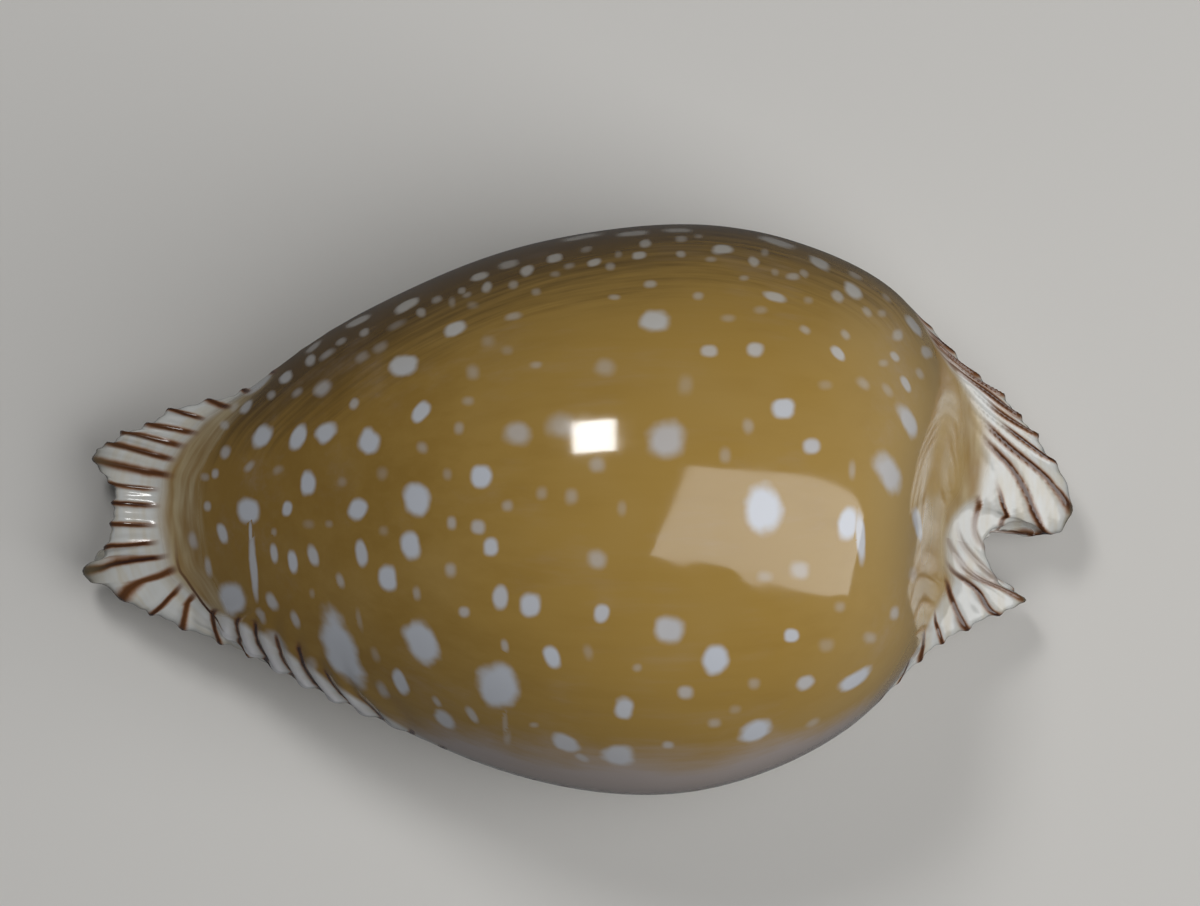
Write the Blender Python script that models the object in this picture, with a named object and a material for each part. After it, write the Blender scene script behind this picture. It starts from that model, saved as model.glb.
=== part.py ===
"""A great spotted cowrie: the empty shell of a sea snail, lying on its toothed base.

The shell grew as one piece, so it is one closed body. Its surface runs in columns, from the
summit of the back down to the margin, in across the base to the edge of the long mouth, and
up inside to the roof of the hollow. A column's place around the shell is its tooth number:
each whole number is one of the ridges that cross the base. The count starts at the bottom of
the rear notch and goes round by the outer lip, the front canal and the inner lip.

Sizes are in millimetres. +X points to the rear (spire) end, +Y to the outer lip, +Z up.
The origin is on the surface that the shell lies on, under the middle of its outline.
"""

import bmesh
import bpy
import numpy as np

MM = 0.001
TEETH = 76

# The driving sizes.
SUMMIT = np.array([4.5, 0.4, 29.4])  # highest point of the back
CROWN_RADII = np.array([23.0, 17.6])  # the oval that the top of the back rounds off to
CROWN_FOOT = 9.5
CROWN_POWER = 0.5
CROWN_SHOULDER = 2.0
SIDE_BAND = 1.0  # height of the upright band between the back's foot and the margin
BACK_WALL = 1.5
LAND_WIDTH = 1.2  # worn flat across each tooth where it touches down
LAND_SHARE = 0.2  # the most that the flat takes of the way from mouth to margin
LAND_PLACE = 0.33  # where the flat lies, from the mouth's edge to the margin
RIDGE_HEIGHT = 0.45

# How late each curve turns, from 1 for a straight slope to a square corner.
FLANGE_EDGE_POWER = 4.0
BASE_POWER = 2.4
LIP_POWER = 2.2
FLOOR_POWER = 3.0

# The widest line of the shell along its sides: tooth, x, y, height.
OUTER_SIDE = [
    (11, 20.4, 12.8, 9.0),
    (14, 14.6, 16.2, 9.3),
    (17, 8.0, 17.6, 9.4),
    (20, 1.2, 17.2, 9.4),
    (23, -5.3, 15.7, 9.2),
    (26, -11.5, 13.1, 8.8),
    (29, -17.1, 9.9, 8.0),
]
INNER_SIDE = [
    (54.4, -7.6, -15.1, 8.6),
    (57.8, -1.1, -17.1, 9.2),
    (61.2, 5.8, -17.6, 9.4),
    (64.5, 12.3, -16.0, 9.2),
    (67.8, 18.1, -12.5, 8.6),
]

# The flange's edge at the rear: the notch, the outer lip's hook and the inner lip's spur.
REAR_FLANGE = [
    (69.5, 20.7, -10.1, 7.8),
    (71, 22.8, -8.4, 6.8),
    (72, 24.4, -7.6, 5.9),
    (73, 26.4, -6.7, 4.8),
    (73.6, 27.6, -6.3, 4.1),
    (74, 28.1, -5.7, 3.8),
    (74.3, 27.6, -5.1, 4.1),
    (74.6, 26.8, -4.8, 4.7),
    (75.3, 25.9, -3.7, 5.8),
    (76, 25.4, -2.4, 6.4),
    (77, 26.5, -1.1, 5.7),
    (77.6, 28.2, -1.1, 4.3),
    (78, 29.4, -1.6, 3.7),
    (78.4, 30.3, -1.7, 3.7),
    (79, 31.0, -0.1, 4.2),
    (79.5, 30.8, 1.7, 4.6),
    (80, 29.9, 3.0, 4.9),
    (81, 28.8, 4.7, 5.4),
    (82, 27.7, 5.9, 5.9),
    (83, 26.6, 7.2, 6.5),
    (84, 25.0, 8.4, 7.2),
    (85.5, 22.7, 10.6, 8.2),
]

# The flange's edge at the front: the outer lip's knob, the canal's roof, the inner lip's knob.
FRONT_FLANGE = [
    (31, -20.8, 7.5, 7.0),
    (32, -23.0, 6.9, 6.3),
    (33, -25.5, 6.3, 5.7),
    (34, -26.9, 5.4, 5.2),
    (35, -28.5, 4.9, 4.8),
    (36, -29.4, 4.2, 4.2),
    (36.5, -30.2, 3.9, 3.7),
    (37, -30.4, 3.1, 3.5),
    (37.5, -30.0, 2.2, 4.0),
    (38, -29.3, 1.6, 4.8),
    (39, -29.1, 0.4, 5.3),
    (40, -29.2, -0.9, 5.3),
    (41, -29.6, -2.4, 4.6),
    (41.4, -30.0, -3.0, 4.0),
    (41.7, -30.7, -3.2, 3.6),
    (42, -31.0, -3.9, 3.3),
    (42.4, -30.6, -4.8, 3.4),
    (42.7, -29.7, -5.0, 3.8),
    (43, -28.6, -5.7, 4.0),
    (44, -26.7, -6.7, 4.2),
    (45, -24.7, -7.6, 4.4),
    (46, -22.3, -8.5, 4.8),
    (47, -20.5, -9.3, 5.2),
    (48, -18.9, -10.1, 5.6),
    (49, -17.2, -10.9, 6.1),
    (50, -15.5, -11.6, 6.6),
    (51, -13.8, -12.3, 7.2),
]

# The foot of the back, where it stands on the flanges at the two ends.
REAR_NECK = [
    (69.5, 20.1, -10.1, 9.3),
    (71, 21.2, -8.0, 8.9),
    (73, 21.6, -5.4, 8.5),
    (75, 21.8, -2.9, 8.5),
    (77, 22.1, 0.0, 8.5),
    (79, 22.5, 2.9, 8.6),
    (81, 22.9, 5.5, 8.8),
    (83, 22.8, 7.8, 9.1),
    (84.5, 22.2, 9.6, 9.5),
    (86, 21.4, 11.2, 9.8),
]
FRONT_NECK = [
    (31, -20.5, 7.3, 8.3),
    (33, -22.6, 5.4, 7.4),
    (35, -23.8, 3.7, 6.9),
    (37, -24.6, 1.9, 6.6),
    (39, -24.9, 0.1, 6.5),
    (41, -24.6, -2.3, 6.5),
    (43, -23.8, -4.5, 6.6),
    (45, -22.6, -6.5, 6.8),
    (47, -20.8, -8.2, 7.2),
    (49, -17.9, -10.1, 7.9),
    (51, -14.2, -12.0, 8.6),
]

# The edge of the mouth.
MOUTH_EDGE = [
    (0, 25.1, -2.4, 5.3),
    (1, 26.2, -1.4, 4.4),
    (1.6, 27.7, -1.5, 3.3),
    (2, 28.7, -1.7, 2.7),
    (2.4, 28.6, -1.4, 2.2),
    (3, 27.6, -1.1, 1.9),
    (4, 26.2, -1.1, 1.6),
    (6, 23.7, -0.8, 1.4),
    (9, 19.8, 0.1, 1.3),
    (14, 12.0, 1.6, 1.3),
    (19, 3.4, 2.4, 1.3),
    (25, -7.4, 2.7, 1.3),
    (31, -18.4, 2.4, 1.3),
    (35, -25.8, 2.1, 1.5),
    (36, -27.6, 2.1, 1.8),
    (37, -29.3, 2.6, 2.7),
    (37.5, -29.2, 2.0, 3.4),
    (38, -28.8, 1.4, 4.0),
    (39, -28.5, 0.4, 4.4),
    (40, -28.6, -0.9, 4.4),
    (41, -29.1, -2.3, 3.6),
    (41.7, -29.9, -3.3, 2.6),
    (42.2, -29.7, -3.6, 2.1),
    (43, -28.4, -3.0, 1.6),
    (45, -25.2, -2.2, 1.4),
    (49, -18.2, -1.1, 1.3),
    (55, -7.0, -0.4, 1.3),
    (61, 4.0, -0.6, 1.3),
    (66, 13.0, -1.7, 1.3),
    (70, 20.3, -3.3, 1.4),
    (72, 23.9, -4.3, 1.6),
    (73, 25.7, -4.8, 1.8),
    (74, 27.3, -5.2, 2.5),
    (74.6, 26.5, -4.7, 3.6),
    (75.3, 25.6, -3.6, 4.8),
]

# The inner edge of the lips, where the mouth opens into the hollow.
INNER_EDGE = [
    (0, 22.9, -2.3, 5.2),
    (3, 22.9, -0.9, 4.4),
    (6, 21.0, -0.2, 4.0),
    (9, 17.6, 0.9, 3.9),
    (14, 11.0, 2.3, 3.9),
    (19, 2.9, 3.1, 3.9),
    (25, -7.0, 3.4, 3.9),
    (31, -17.0, 3.0, 3.9),
    (35, -22.4, 2.4, 4.1),
    (37, -24.0, 1.4, 4.5),
    (39, -24.6, 0.3, 4.8),
    (41, -24.4, -1.3, 4.7),
    (43, -23.4, -2.4, 4.2),
    (45, -21.6, -2.5, 4.0),
    (49, -16.6, -1.8, 3.9),
    (55, -6.6, -1.1, 3.9),
    (61, 3.6, -1.3, 3.9),
    (66, 11.8, -2.3, 3.9),
    (70, 18.4, -3.9, 4.0),
    (73, 22.2, -4.4, 4.4),
]

# Heights that change round the shell: tooth, height.
FLANGE_TOP = [
    (0, 7.5),
    (1, 7.2),
    (2, 6.4),
    (3, 6.5),
    (4, 7.0),
    (6, 7.9),
    (8, 8.9),
    (11, 10.0),
    (20, 10.4),
    (29, 9.1),
    (31, 8.0),
    (33, 7.2),
    (35, 6.6),
    (37, 5.9),
    (38, 6.5),
    (39.5, 6.9),
    (41, 6.4),
    (42, 5.5),
    (43, 6.0),
    (45, 6.3),
    (48, 7.0),
    (51, 8.3),
    (54.4, 9.6),
    (61, 10.4),
    (67.8, 9.6),
    (71, 8.3),
    (73, 7.0),
    (74, 6.2),
    (75, 7.1),
]
LAND_HEIGHT = [  # worn off level where it is below 0
    (0, 5.2),
    (1, 4.3),
    (2, 2.4),
    (3, 1.5),
    (5, 0.9),
    (8, 0.35),
    (12, 0.0),
    (19, -0.3),
    (26, 0.0),
    (31, 0.5),
    (34, 1.0),
    (36, 1.5),
    (37, 2.3),
    (38, 3.8),
    (39, 4.3),
    (40, 4.3),
    (41, 3.4),
    (42, 1.9),
    (43, 1.4),
    (45, 0.9),
    (48, 0.4),
    (52, 0.0),
    (59, -0.3),
    (66, 0.0),
    (70, 0.4),
    (72, 1.0),
    (73, 1.4),
    (74, 2.1),
    (75, 4.2),
]

# How the back's slope changes from upright sides to gentler ends: tooth, power.
SLOPE_POWER = [
    (0, 0.45),
    (10, 0.48),
    (20, 0.5),
    (30, 0.62),
    (37, 0.84),
    (42, 0.84),
    (50, 0.62),
    (60, 0.5),
]

# How full the shoulder is where the back turns down, from 2 for an oval: tooth, fullness.
SHOULDER = [(0, 2.8), (8, 2.7), (16, 2.2), (24, 2.0), (52, 2.0), (60, 2.2), (68, 2.7)]

# How far each column belongs to an end, where the ridges climb over the margin: tooth, share.
END_SHARE = [
    (0, 1),
    (5, 1),
    (8, 0.9),
    (11, 0),
    (20, 0),
    (27, 0),
    (30, 0.6),
    (33, 1),
    (39, 1),
    (45, 1),
    (50, 0.9),
    (54, 0.1),
    (57, 0),
    (66, 0),
    (69, 0.4),
    (72, 1),
]

# Columns within one tooth: place, and how deep the groove is there.
TOOTH_COLUMNS = [(-0.14, 0.0), (0.14, 0.0), (0.36, 1.0), (0.64, 1.0)]
PAIR_COLUMNS = [(0.0, 0.0), (0.5, 0.0)]
SINGLE_COLUMN = [(0.0, 0.0)]

# The rings of the mesh: level, columns, and the share of the ridges' height at the ends and
# along the sides. A level's whole number is its section of the surface, in the order of
# SECTIONS, and the rest is the way through it.
RINGS = [
    (0.20, SINGLE_COLUMN, 0.0, 0.0),
    (0.39, SINGLE_COLUMN, 0.0, 0.0),
    (0.56, SINGLE_COLUMN, 0.0, 0.0),
    (0.71, SINGLE_COLUMN, 0.0, 0.0),
    (0.83, PAIR_COLUMNS, 0.0, 0.0),
    (0.92, PAIR_COLUMNS, 0.0, 0.0),
    (0.98, PAIR_COLUMNS, 0.0, 0.0),
    (1.00, PAIR_COLUMNS, 0.0, 0.0),
    (1.30, PAIR_COLUMNS, 0.0, 0.0),
    (1.62, TOOTH_COLUMNS, 0.7, 0.0),
    (1.90, TOOTH_COLUMNS, 0.8, 0.0),
    (2.00, TOOTH_COLUMNS, 0.8, 0.0),
    (2.25, TOOTH_COLUMNS, 0.8, 0.4),
    (2.60, TOOTH_COLUMNS, 1.0, 0.9),
    (3.00, TOOTH_COLUMNS, 1.0, 1.0),
    (4.00, TOOTH_COLUMNS, 1.0, 1.0),
    (4.60, TOOTH_COLUMNS, 1.1, 1.1),
    (5.00, TOOTH_COLUMNS, 1.1, 1.1),
    (5.45, PAIR_COLUMNS, 0.0, 0.0),
    (6.00, PAIR_COLUMNS, 0.0, 0.0),
    (6.50, SINGLE_COLUMN, 0.0, 0.0),
    (6.85, SINGLE_COLUMN, 0.0, 0.0),
    (7.00, SINGLE_COLUMN, 0.0, 0.0),
    (7.15, SINGLE_COLUMN, 0.0, 0.0),
    (7.35, SINGLE_COLUMN, 0.0, 0.0),
    (7.60, SINGLE_COLUMN, 0.0, 0.0),
    (7.82, SINGLE_COLUMN, 0.0, 0.0),
]


def closed_curve(stations):
    """Returns the smooth closed curve through rows of (tooth, values), as a function of tooth."""
    table = np.array(stations, dtype=float)
    table[:, 0] %= TEETH
    table = table[np.argsort(table[:, 0])]
    knots = table[:, 0]
    values = table[:, 1:]
    count = len(knots)
    gaps = np.diff(np.append(knots, knots[0] + TEETH))[:, None]
    pulls = (np.roll(values, -1, axis=0) - values) / gaps**2
    system = np.zeros((count, count))
    for row in range(count):
        before = 1 / gaps[row - 1, 0]
        after = 1 / gaps[row, 0]
        system[row, row - 1] += before
        system[row, row] += 2 * (before + after)
        system[row, (row + 1) % count] += after
    slopes = np.linalg.solve(system, 3 * (np.roll(pulls, 1, axis=0) + pulls))

    def at(teeth):
        place = np.mod(np.asarray(teeth) - knots[0], TEETH) + knots[0]
        start = np.searchsorted(knots, place, side="right") - 1
        end = (start + 1) % count
        gap = gaps[start]
        way = (place - knots[start])[:, None] / gap
        bend = way * way * (3 - 2 * way)
        leave = way * (1 - way) ** 2 * gap
        arrive = -way * way * (1 - way) * gap
        through = values[start] * (1 - bend) + values[end] * bend
        return through + slopes[start] * leave + slopes[end] * arrive

    return at


def raised(stations, rise):
    """Returns stations moved up by rise."""
    return [(tooth, x, y, height + rise) for tooth, x, y, height in stations]


margin_curve = closed_curve(OUTER_SIDE + FRONT_FLANGE + INNER_SIDE + REAR_FLANGE)
foot_curve = closed_curve(
    raised(OUTER_SIDE, SIDE_BAND) + FRONT_NECK + raised(INNER_SIDE, SIDE_BAND) + REAR_NECK
)
mouth_curve = closed_curve(MOUTH_EDGE)
inner_curve = closed_curve(INNER_EDGE)
flange_top = closed_curve(FLANGE_TOP)
land_height = closed_curve(LAND_HEIGHT)
slope_power = closed_curve(SLOPE_POWER)
shoulder = closed_curve(SHOULDER)
end_share = closed_curve(END_SHARE)


def mix(start, end, way):
    """Returns the blend of two values, from start at 0 to end at 1."""
    return start + (end - start) * way


def quarter(way, power):
    """Returns a quarter turn's drop, from 0 and level at 0 to 1 and upright at 1."""
    return 1 - (1 - way**power) ** (1 / power)


def dome(foot, summit, radii, crown_foot, teeth, way):
    """Returns a ring of a domed roof, from its summit at 0 to its foot at 1."""
    crown = (1 - way**3) ** 2
    out = foot[:, :2] - summit[:2]
    heading = out / np.linalg.norm(out, axis=1)[:, None]
    crown_reach = 1 / np.linalg.norm(heading / radii, axis=1)[:, None]
    plan = summit[:2] + way * mix(out, heading * crown_reach, crown)
    low = mix(foot[:, 2:], crown_foot, crown)
    power = mix(slope_power(teeth), CROWN_POWER, crown)
    turn = mix(shoulder(teeth), CROWN_SHOULDER, crown)
    return np.hstack([plan, low + (summit[2] - low) * (1 - way**turn) ** power])


def back(teeth, way):
    """The domed back, from the summit to its foot."""
    return dome(foot_curve(teeth), SUMMIT, CROWN_RADII, CROWN_FOOT, teeth, way)


def flange(teeth, way):
    """The band on the sides and the flanges at the ends, from the back's foot to the margin."""
    foot = foot_curve(teeth)
    margin = margin_curve(teeth)
    top = mix(foot[:, 2:], flange_top(teeth), way**2 * (3 - 2 * way))
    power = mix(1, FLANGE_EDGE_POWER, np.clip(end_share(teeth), 0, 1))
    height = mix(top, margin[:, 2:], quarter(way, power))
    return np.hstack([mix(foot[:, :2], margin[:, :2], way), height])


def land(teeth, way):
    """The worn flat across the teeth, from its outer side to its inner side."""
    margin = margin_curve(teeth)
    mouth = mouth_curve(teeth)
    span = margin[:, :2] - mouth[:, :2]
    half = np.minimum(LAND_WIDTH / np.linalg.norm(span, axis=1)[:, None], LAND_SHARE) / 2
    height = np.maximum(land_height(teeth), 0)
    return np.hstack([mouth[:, :2] + span * (LAND_PLACE + half * (1 - 2 * way)), height])


def base(teeth, way):
    """The rounded base, from the margin to the worn flat."""
    margin = margin_curve(teeth)
    outer = land(teeth, 0)
    height = mix(outer[:, 2:], margin[:, 2:], quarter(1 - way, BASE_POWER))
    return np.hstack([mix(margin[:, :2], outer[:, :2], way), height])


def lip(teeth, way):
    """The lip's roll into the mouth, from the worn flat to the mouth's edge."""
    inner = land(teeth, 1)
    mouth = mouth_curve(teeth)
    height = mix(inner[:, 2:], mouth[:, 2:], quarter(way, LIP_POWER))
    return np.hstack([mix(inner[:, :2], mouth[:, :2], way), height])


def throat(teeth, way):
    """The mouth's wall, from its edge to the hollow."""
    return mix(mouth_curve(teeth), inner_curve(teeth), way)


def hollow_foot(teeth):
    """The widest line of the hollow, set in from the back's foot by the wall."""
    foot = foot_curve(teeth)
    out = foot[:, :2] - SUMMIT[:2]
    inset = out * (1 - BACK_WALL / np.linalg.norm(out, axis=1)[:, None])
    return np.hstack([SUMMIT[:2] + inset, foot[:, 2:]])


def floor(teeth, way):
    """The hollow's floor, from the mouth's wall to the hollow's widest line."""
    inner = inner_curve(teeth)
    foot = hollow_foot(teeth)
    height = mix(inner[:, 2:], foot[:, 2:], quarter(way, FLOOR_POWER))
    return np.hstack([mix(inner[:, :2], foot[:, :2], way), height])


def roof(teeth, way):
    """The hollow's domed roof, from its foot up to its summit."""
    summit = SUMMIT - (0, 0, BACK_WALL)
    return dome(hollow_foot(teeth), summit, CROWN_RADII - BACK_WALL, CROWN_FOOT, teeth, 1 - way)


SECTIONS = [back, flange, base, land, lip, throat, floor, roof]
STEP = 0.01  # how far the surface is probed to find its slope


def surface(teeth, level):
    """Returns the smooth surface's points at a level."""
    section = min(int(level), len(SECTIONS) - 1)
    return SECTIONS[section](teeth, level - section)


def outward(teeth, level):
    """Returns the directions that face out of the shell at a level."""
    down = surface(teeth, level + STEP) - surface(teeth, level - STEP)
    along = surface(teeth + STEP, level) - surface(teeth - STEP, level)
    facing = np.cross(down, along)
    return facing / np.linalg.norm(facing, axis=1)[:, None]


def ring(level, columns, end_ridges, side_ridges):
    """Returns one ring of the mesh, as tooth numbers and points."""
    teeth = np.array([tooth + place for tooth in range(TEETH) for place, groove in columns])
    grooves = np.array([[groove] for tooth in range(TEETH) for place, groove in columns])
    ridges = mix(side_ridges, end_ridges, np.clip(end_share(teeth), 0, 1))
    points = surface(teeth, level)
    if end_ridges > 0:
        points = points - outward(teeth, level) * RIDGE_HEIGHT * ridges * grooves
    return teeth, points


def stitch(mesh, upper, lower):
    """Fills the strip between two rings of (teeth, vertices) with triangles."""
    upper_teeth, upper_verts = upper
    lower_teeth, lower_verts = lower
    above = 0
    below = 0
    while above < len(upper_verts) or below < len(lower_verts):
        next_above = upper_teeth[(above + 1) % len(upper_verts)] + TEETH * ((above + 1) // len(upper_verts))
        next_below = lower_teeth[(below + 1) % len(lower_verts)] + TEETH * ((below + 1) // len(lower_verts))
        a = upper_verts[above % len(upper_verts)]
        b = lower_verts[below % len(lower_verts)]
        if below == len(lower_verts) or (above < len(upper_verts) and next_above < next_below):
            above += 1
            mesh.faces.new((a, b, upper_verts[above % len(upper_verts)]))
        else:
            below += 1
            mesh.faces.new((a, b, lower_verts[below % len(lower_verts)]))


def build_shell_mesh():
    """Returns the shell's closed mesh."""
    mesh = bmesh.new()
    rings = []
    for row in RINGS:
        teeth, points = ring(*row)
        rings.append((teeth, [mesh.verts.new(point) for point in points * MM]))
    for upper, lower in zip(rings, rings[1:]):
        stitch(mesh, upper, lower)
    summit = mesh.verts.new(SUMMIT * MM)
    roof_summit = mesh.verts.new((SUMMIT - (0, 0, BACK_WALL)) * MM)
    first = rings[0][1]
    last = rings[-1][1]
    for place in range(len(first)):
        mesh.faces.new((summit, first[place], first[(place + 1) % len(first)]))
    for place in range(len(last)):
        mesh.faces.new((last[place], roof_summit, last[(place + 1) % len(last)]))
    result = bpy.data.meshes.new("shell")
    mesh.to_mesh(result)
    mesh.free()
    return result


def glazed_shell_material():
    """Returns the shell's glossy golden brown."""
    material = bpy.data.materials.new("shell")
    material.use_nodes = True
    shader = material.node_tree.nodes["Principled BSDF"]
    shader.inputs["Base Color"].default_value = (0.26, 0.13, 0.04, 1)
    shader.inputs["Roughness"].default_value = 0.15
    shader.inputs["Metallic"].default_value = 0
    return material


def main():
    """Builds the shell in an empty scene."""
    for old in list(bpy.data.objects):
        bpy.data.objects.remove(old)
    shell = bpy.data.objects.new("shell", build_shell_mesh())
    shell.data.materials.append(glazed_shell_material())
    shell.data.shade_smooth()
    bpy.context.scene.collection.objects.link(shell)


main()
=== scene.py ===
"""Great spotted cowrie: the shell's fine surface, its markings and gloss, and the stage it is seen on.

The surface runs in columns, from the summit of the back down to the margin, in across the base to
the edge of the mouth, and up inside to the roof of the hollow. A column's place round the shell is
its tooth number, counted from the rear notch by the outer lip, the front canal and the inner lip.
Each level is a section of the surface and the way through it, as 1.5 is halfway across the flange.
Sizes are in millimetres until the mesh is made. Pixels are those of the photograph, 1200 by 906.
"""

import bpy
import numpy as np
from mathutils import Matrix, Vector
from mathutils.bvhtree import BVHTree


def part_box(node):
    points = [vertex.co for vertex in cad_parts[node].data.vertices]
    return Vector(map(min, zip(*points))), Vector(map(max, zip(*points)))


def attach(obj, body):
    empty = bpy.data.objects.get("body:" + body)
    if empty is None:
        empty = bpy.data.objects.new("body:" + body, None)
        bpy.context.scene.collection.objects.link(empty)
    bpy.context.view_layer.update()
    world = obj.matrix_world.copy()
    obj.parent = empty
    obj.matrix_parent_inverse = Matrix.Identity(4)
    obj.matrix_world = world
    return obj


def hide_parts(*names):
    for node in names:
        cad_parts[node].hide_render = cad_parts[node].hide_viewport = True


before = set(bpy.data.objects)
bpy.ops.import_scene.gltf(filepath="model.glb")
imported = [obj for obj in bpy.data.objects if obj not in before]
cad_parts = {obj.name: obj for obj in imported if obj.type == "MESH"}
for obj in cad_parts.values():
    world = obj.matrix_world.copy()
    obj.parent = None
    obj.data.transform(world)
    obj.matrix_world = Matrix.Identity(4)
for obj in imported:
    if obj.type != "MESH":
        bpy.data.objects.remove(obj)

bl_info = {
    "name": "Great spotted cowrie",
    "version": (1, 0, 0),
    "blender": (4, 5, 0),
    "location": "3D View > Sidebar > Cowrie",
    "description": "Builds a great spotted cowrie and the stage that it is seen on",
    "category": "Object",
}

MM = 0.001
CAD_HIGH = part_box("shell")[1]

# The photograph's camera looks straight down.
PHOTO_CENTRE = (600, 453)
PHOTO_WIDTH = 1200
MM_PER_PIXEL = 0.06225  # at the height of the collar and the hooks
SCALE_HEIGHT = 6.5
SENSOR = 36.0
LENS = 250.0
CAMERA_PLACE = np.array([1.43, 3.49, SCALE_HEIGHT + MM_PER_PIXEL * PHOTO_WIDTH * LENS / SENSOR])

# The driving sizes of the shell.
TEETH = 76
SUMMIT = np.array([4.5, 0.4, CAD_HIGH.z / MM])
CROWN_RADII = np.array([23.0, 17.6])
CROWN_FOOT = 9.5
CROWN_POWER = 0.5
CROWN_SHOULDER = 2.0
SIDE_BAND = 1.0
BACK_WALL = 1.5
LAND_WIDTH = 1.2
LAND_SHARE = 0.2
LAND_PLACE = 0.33
FLANGE_EDGE_POWER = 4.0
BASE_POWER = 2.4
LIP_POWER = 2.2
FLOOR_POWER = 3.0

# The widest line of the shell along its sides: tooth, x, y, height.
OUTER_SIDE = [
    (11, 20.4, 12.8, 9.0),
    (14, 14.6, 16.2, 9.3),
    (17, 8.0, 17.6, 9.4),
    (20, 1.2, 17.2, 9.4),
    (23, -5.3, 15.7, 9.2),
    (26, -11.5, 13.1, 8.8),
    (29, -17.1, 9.9, 8.0),
]
INNER_SIDE = [
    (54.4, -7.6, -15.1, 8.6),
    (57.8, -1.1, -17.1, 9.2),
    (61.2, 5.8, -17.6, 9.4),
    (64.5, 12.3, -16.0, 9.2),
    (67.8, 18.1, -12.5, 8.6),
]

# The flange's edge at the rear: the notch, the outer lip's hook and the inner lip's spur.
REAR_FLANGE = [
    (69.5, 20.7, -10.1, 7.8),
    (71, 22.8, -8.4, 6.8),
    (72, 24.4, -7.6, 5.9),
    (73, 26.4, -6.7, 4.8),
    (73.6, 27.6, -6.3, 4.1),
    (74, 28.1, -5.7, 3.8),
    (74.3, 27.6, -5.1, 4.1),
    (74.6, 26.8, -4.8, 4.7),
    (75.3, 25.9, -3.7, 5.8),
    (76, 25.4, -2.4, 6.4),
    (77, 26.5, -1.1, 5.7),
    (77.6, 28.2, -1.1, 4.3),
    (78, 29.4, -1.6, 3.7),
    (78.4, 30.3, -1.7, 3.7),
    (79, 31.0, -0.1, 4.2),
    (79.5, 30.8, 1.7, 4.6),
    (80, 29.9, 3.0, 4.9),
    (81, 28.8, 4.7, 5.4),
    (82, 27.7, 5.9, 5.9),
    (83, 26.6, 7.2, 6.5),
    (84, 25.0, 8.4, 7.2),
    (85.5, 22.7, 10.6, 8.2),
]

# The flange's edge at the front: the outer lip's knob, the canal's roof, the inner lip's knob.
FRONT_FLANGE = [
    (31, -20.8, 7.5, 7.0),
    (32, -23.0, 6.9, 6.3),
    (33, -25.5, 6.3, 5.7),
    (34, -26.9, 5.4, 5.2),
    (35, -28.5, 4.9, 4.8),
    (36, -29.4, 4.2, 4.2),
    (36.5, -30.2, 3.9, 3.7),
    (37, -30.4, 3.1, 3.5),
    (37.5, -30.0, 2.2, 4.0),
    (38, -29.3, 1.6, 4.8),
    (39, -29.1, 0.4, 5.3),
    (40, -29.2, -0.9, 5.3),
    (41, -29.6, -2.4, 4.6),
    (41.4, -30.0, -3.0, 4.0),
    (41.7, -30.7, -3.2, 3.6),
    (42, -31.0, -3.9, 3.3),
    (42.4, -30.6, -4.8, 3.4),
    (42.7, -29.7, -5.0, 3.8),
    (43, -28.6, -5.7, 4.0),
    (44, -26.7, -6.7, 4.2),
    (45, -24.7, -7.6, 4.4),
    (46, -22.3, -8.5, 4.8),
    (47, -20.5, -9.3, 5.2),
    (48, -18.9, -10.1, 5.6),
    (49, -17.2, -10.9, 6.1),
    (50, -15.5, -11.6, 6.6),
    (51, -13.8, -12.3, 7.2),
]

# The foot of the back, where it stands on the flanges at the two ends.
REAR_NECK = [
    (69.5, 20.1, -10.1, 9.3),
    (71, 21.2, -8.0, 8.9),
    (73, 21.6, -5.4, 8.5),
    (75, 21.8, -2.9, 8.5),
    (77, 22.1, 0.0, 8.5),
    (79, 22.5, 2.9, 8.6),
    (81, 22.9, 5.5, 8.8),
    (83, 22.8, 7.8, 9.1),
    (84.5, 22.2, 9.6, 9.5),
    (86, 21.4, 11.2, 9.8),
]
FRONT_NECK = [
    (31, -20.5, 7.3, 8.3),
    (33, -22.6, 5.4, 7.4),
    (35, -23.8, 3.7, 6.9),
    (37, -24.6, 1.9, 6.6),
    (39, -24.9, 0.1, 6.5),
    (41, -24.6, -2.3, 6.5),
    (43, -23.8, -4.5, 6.6),
    (45, -22.6, -6.5, 6.8),
    (47, -20.8, -8.2, 7.2),
    (49, -17.9, -10.1, 7.9),
    (51, -14.2, -12.0, 8.6),
]

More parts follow.
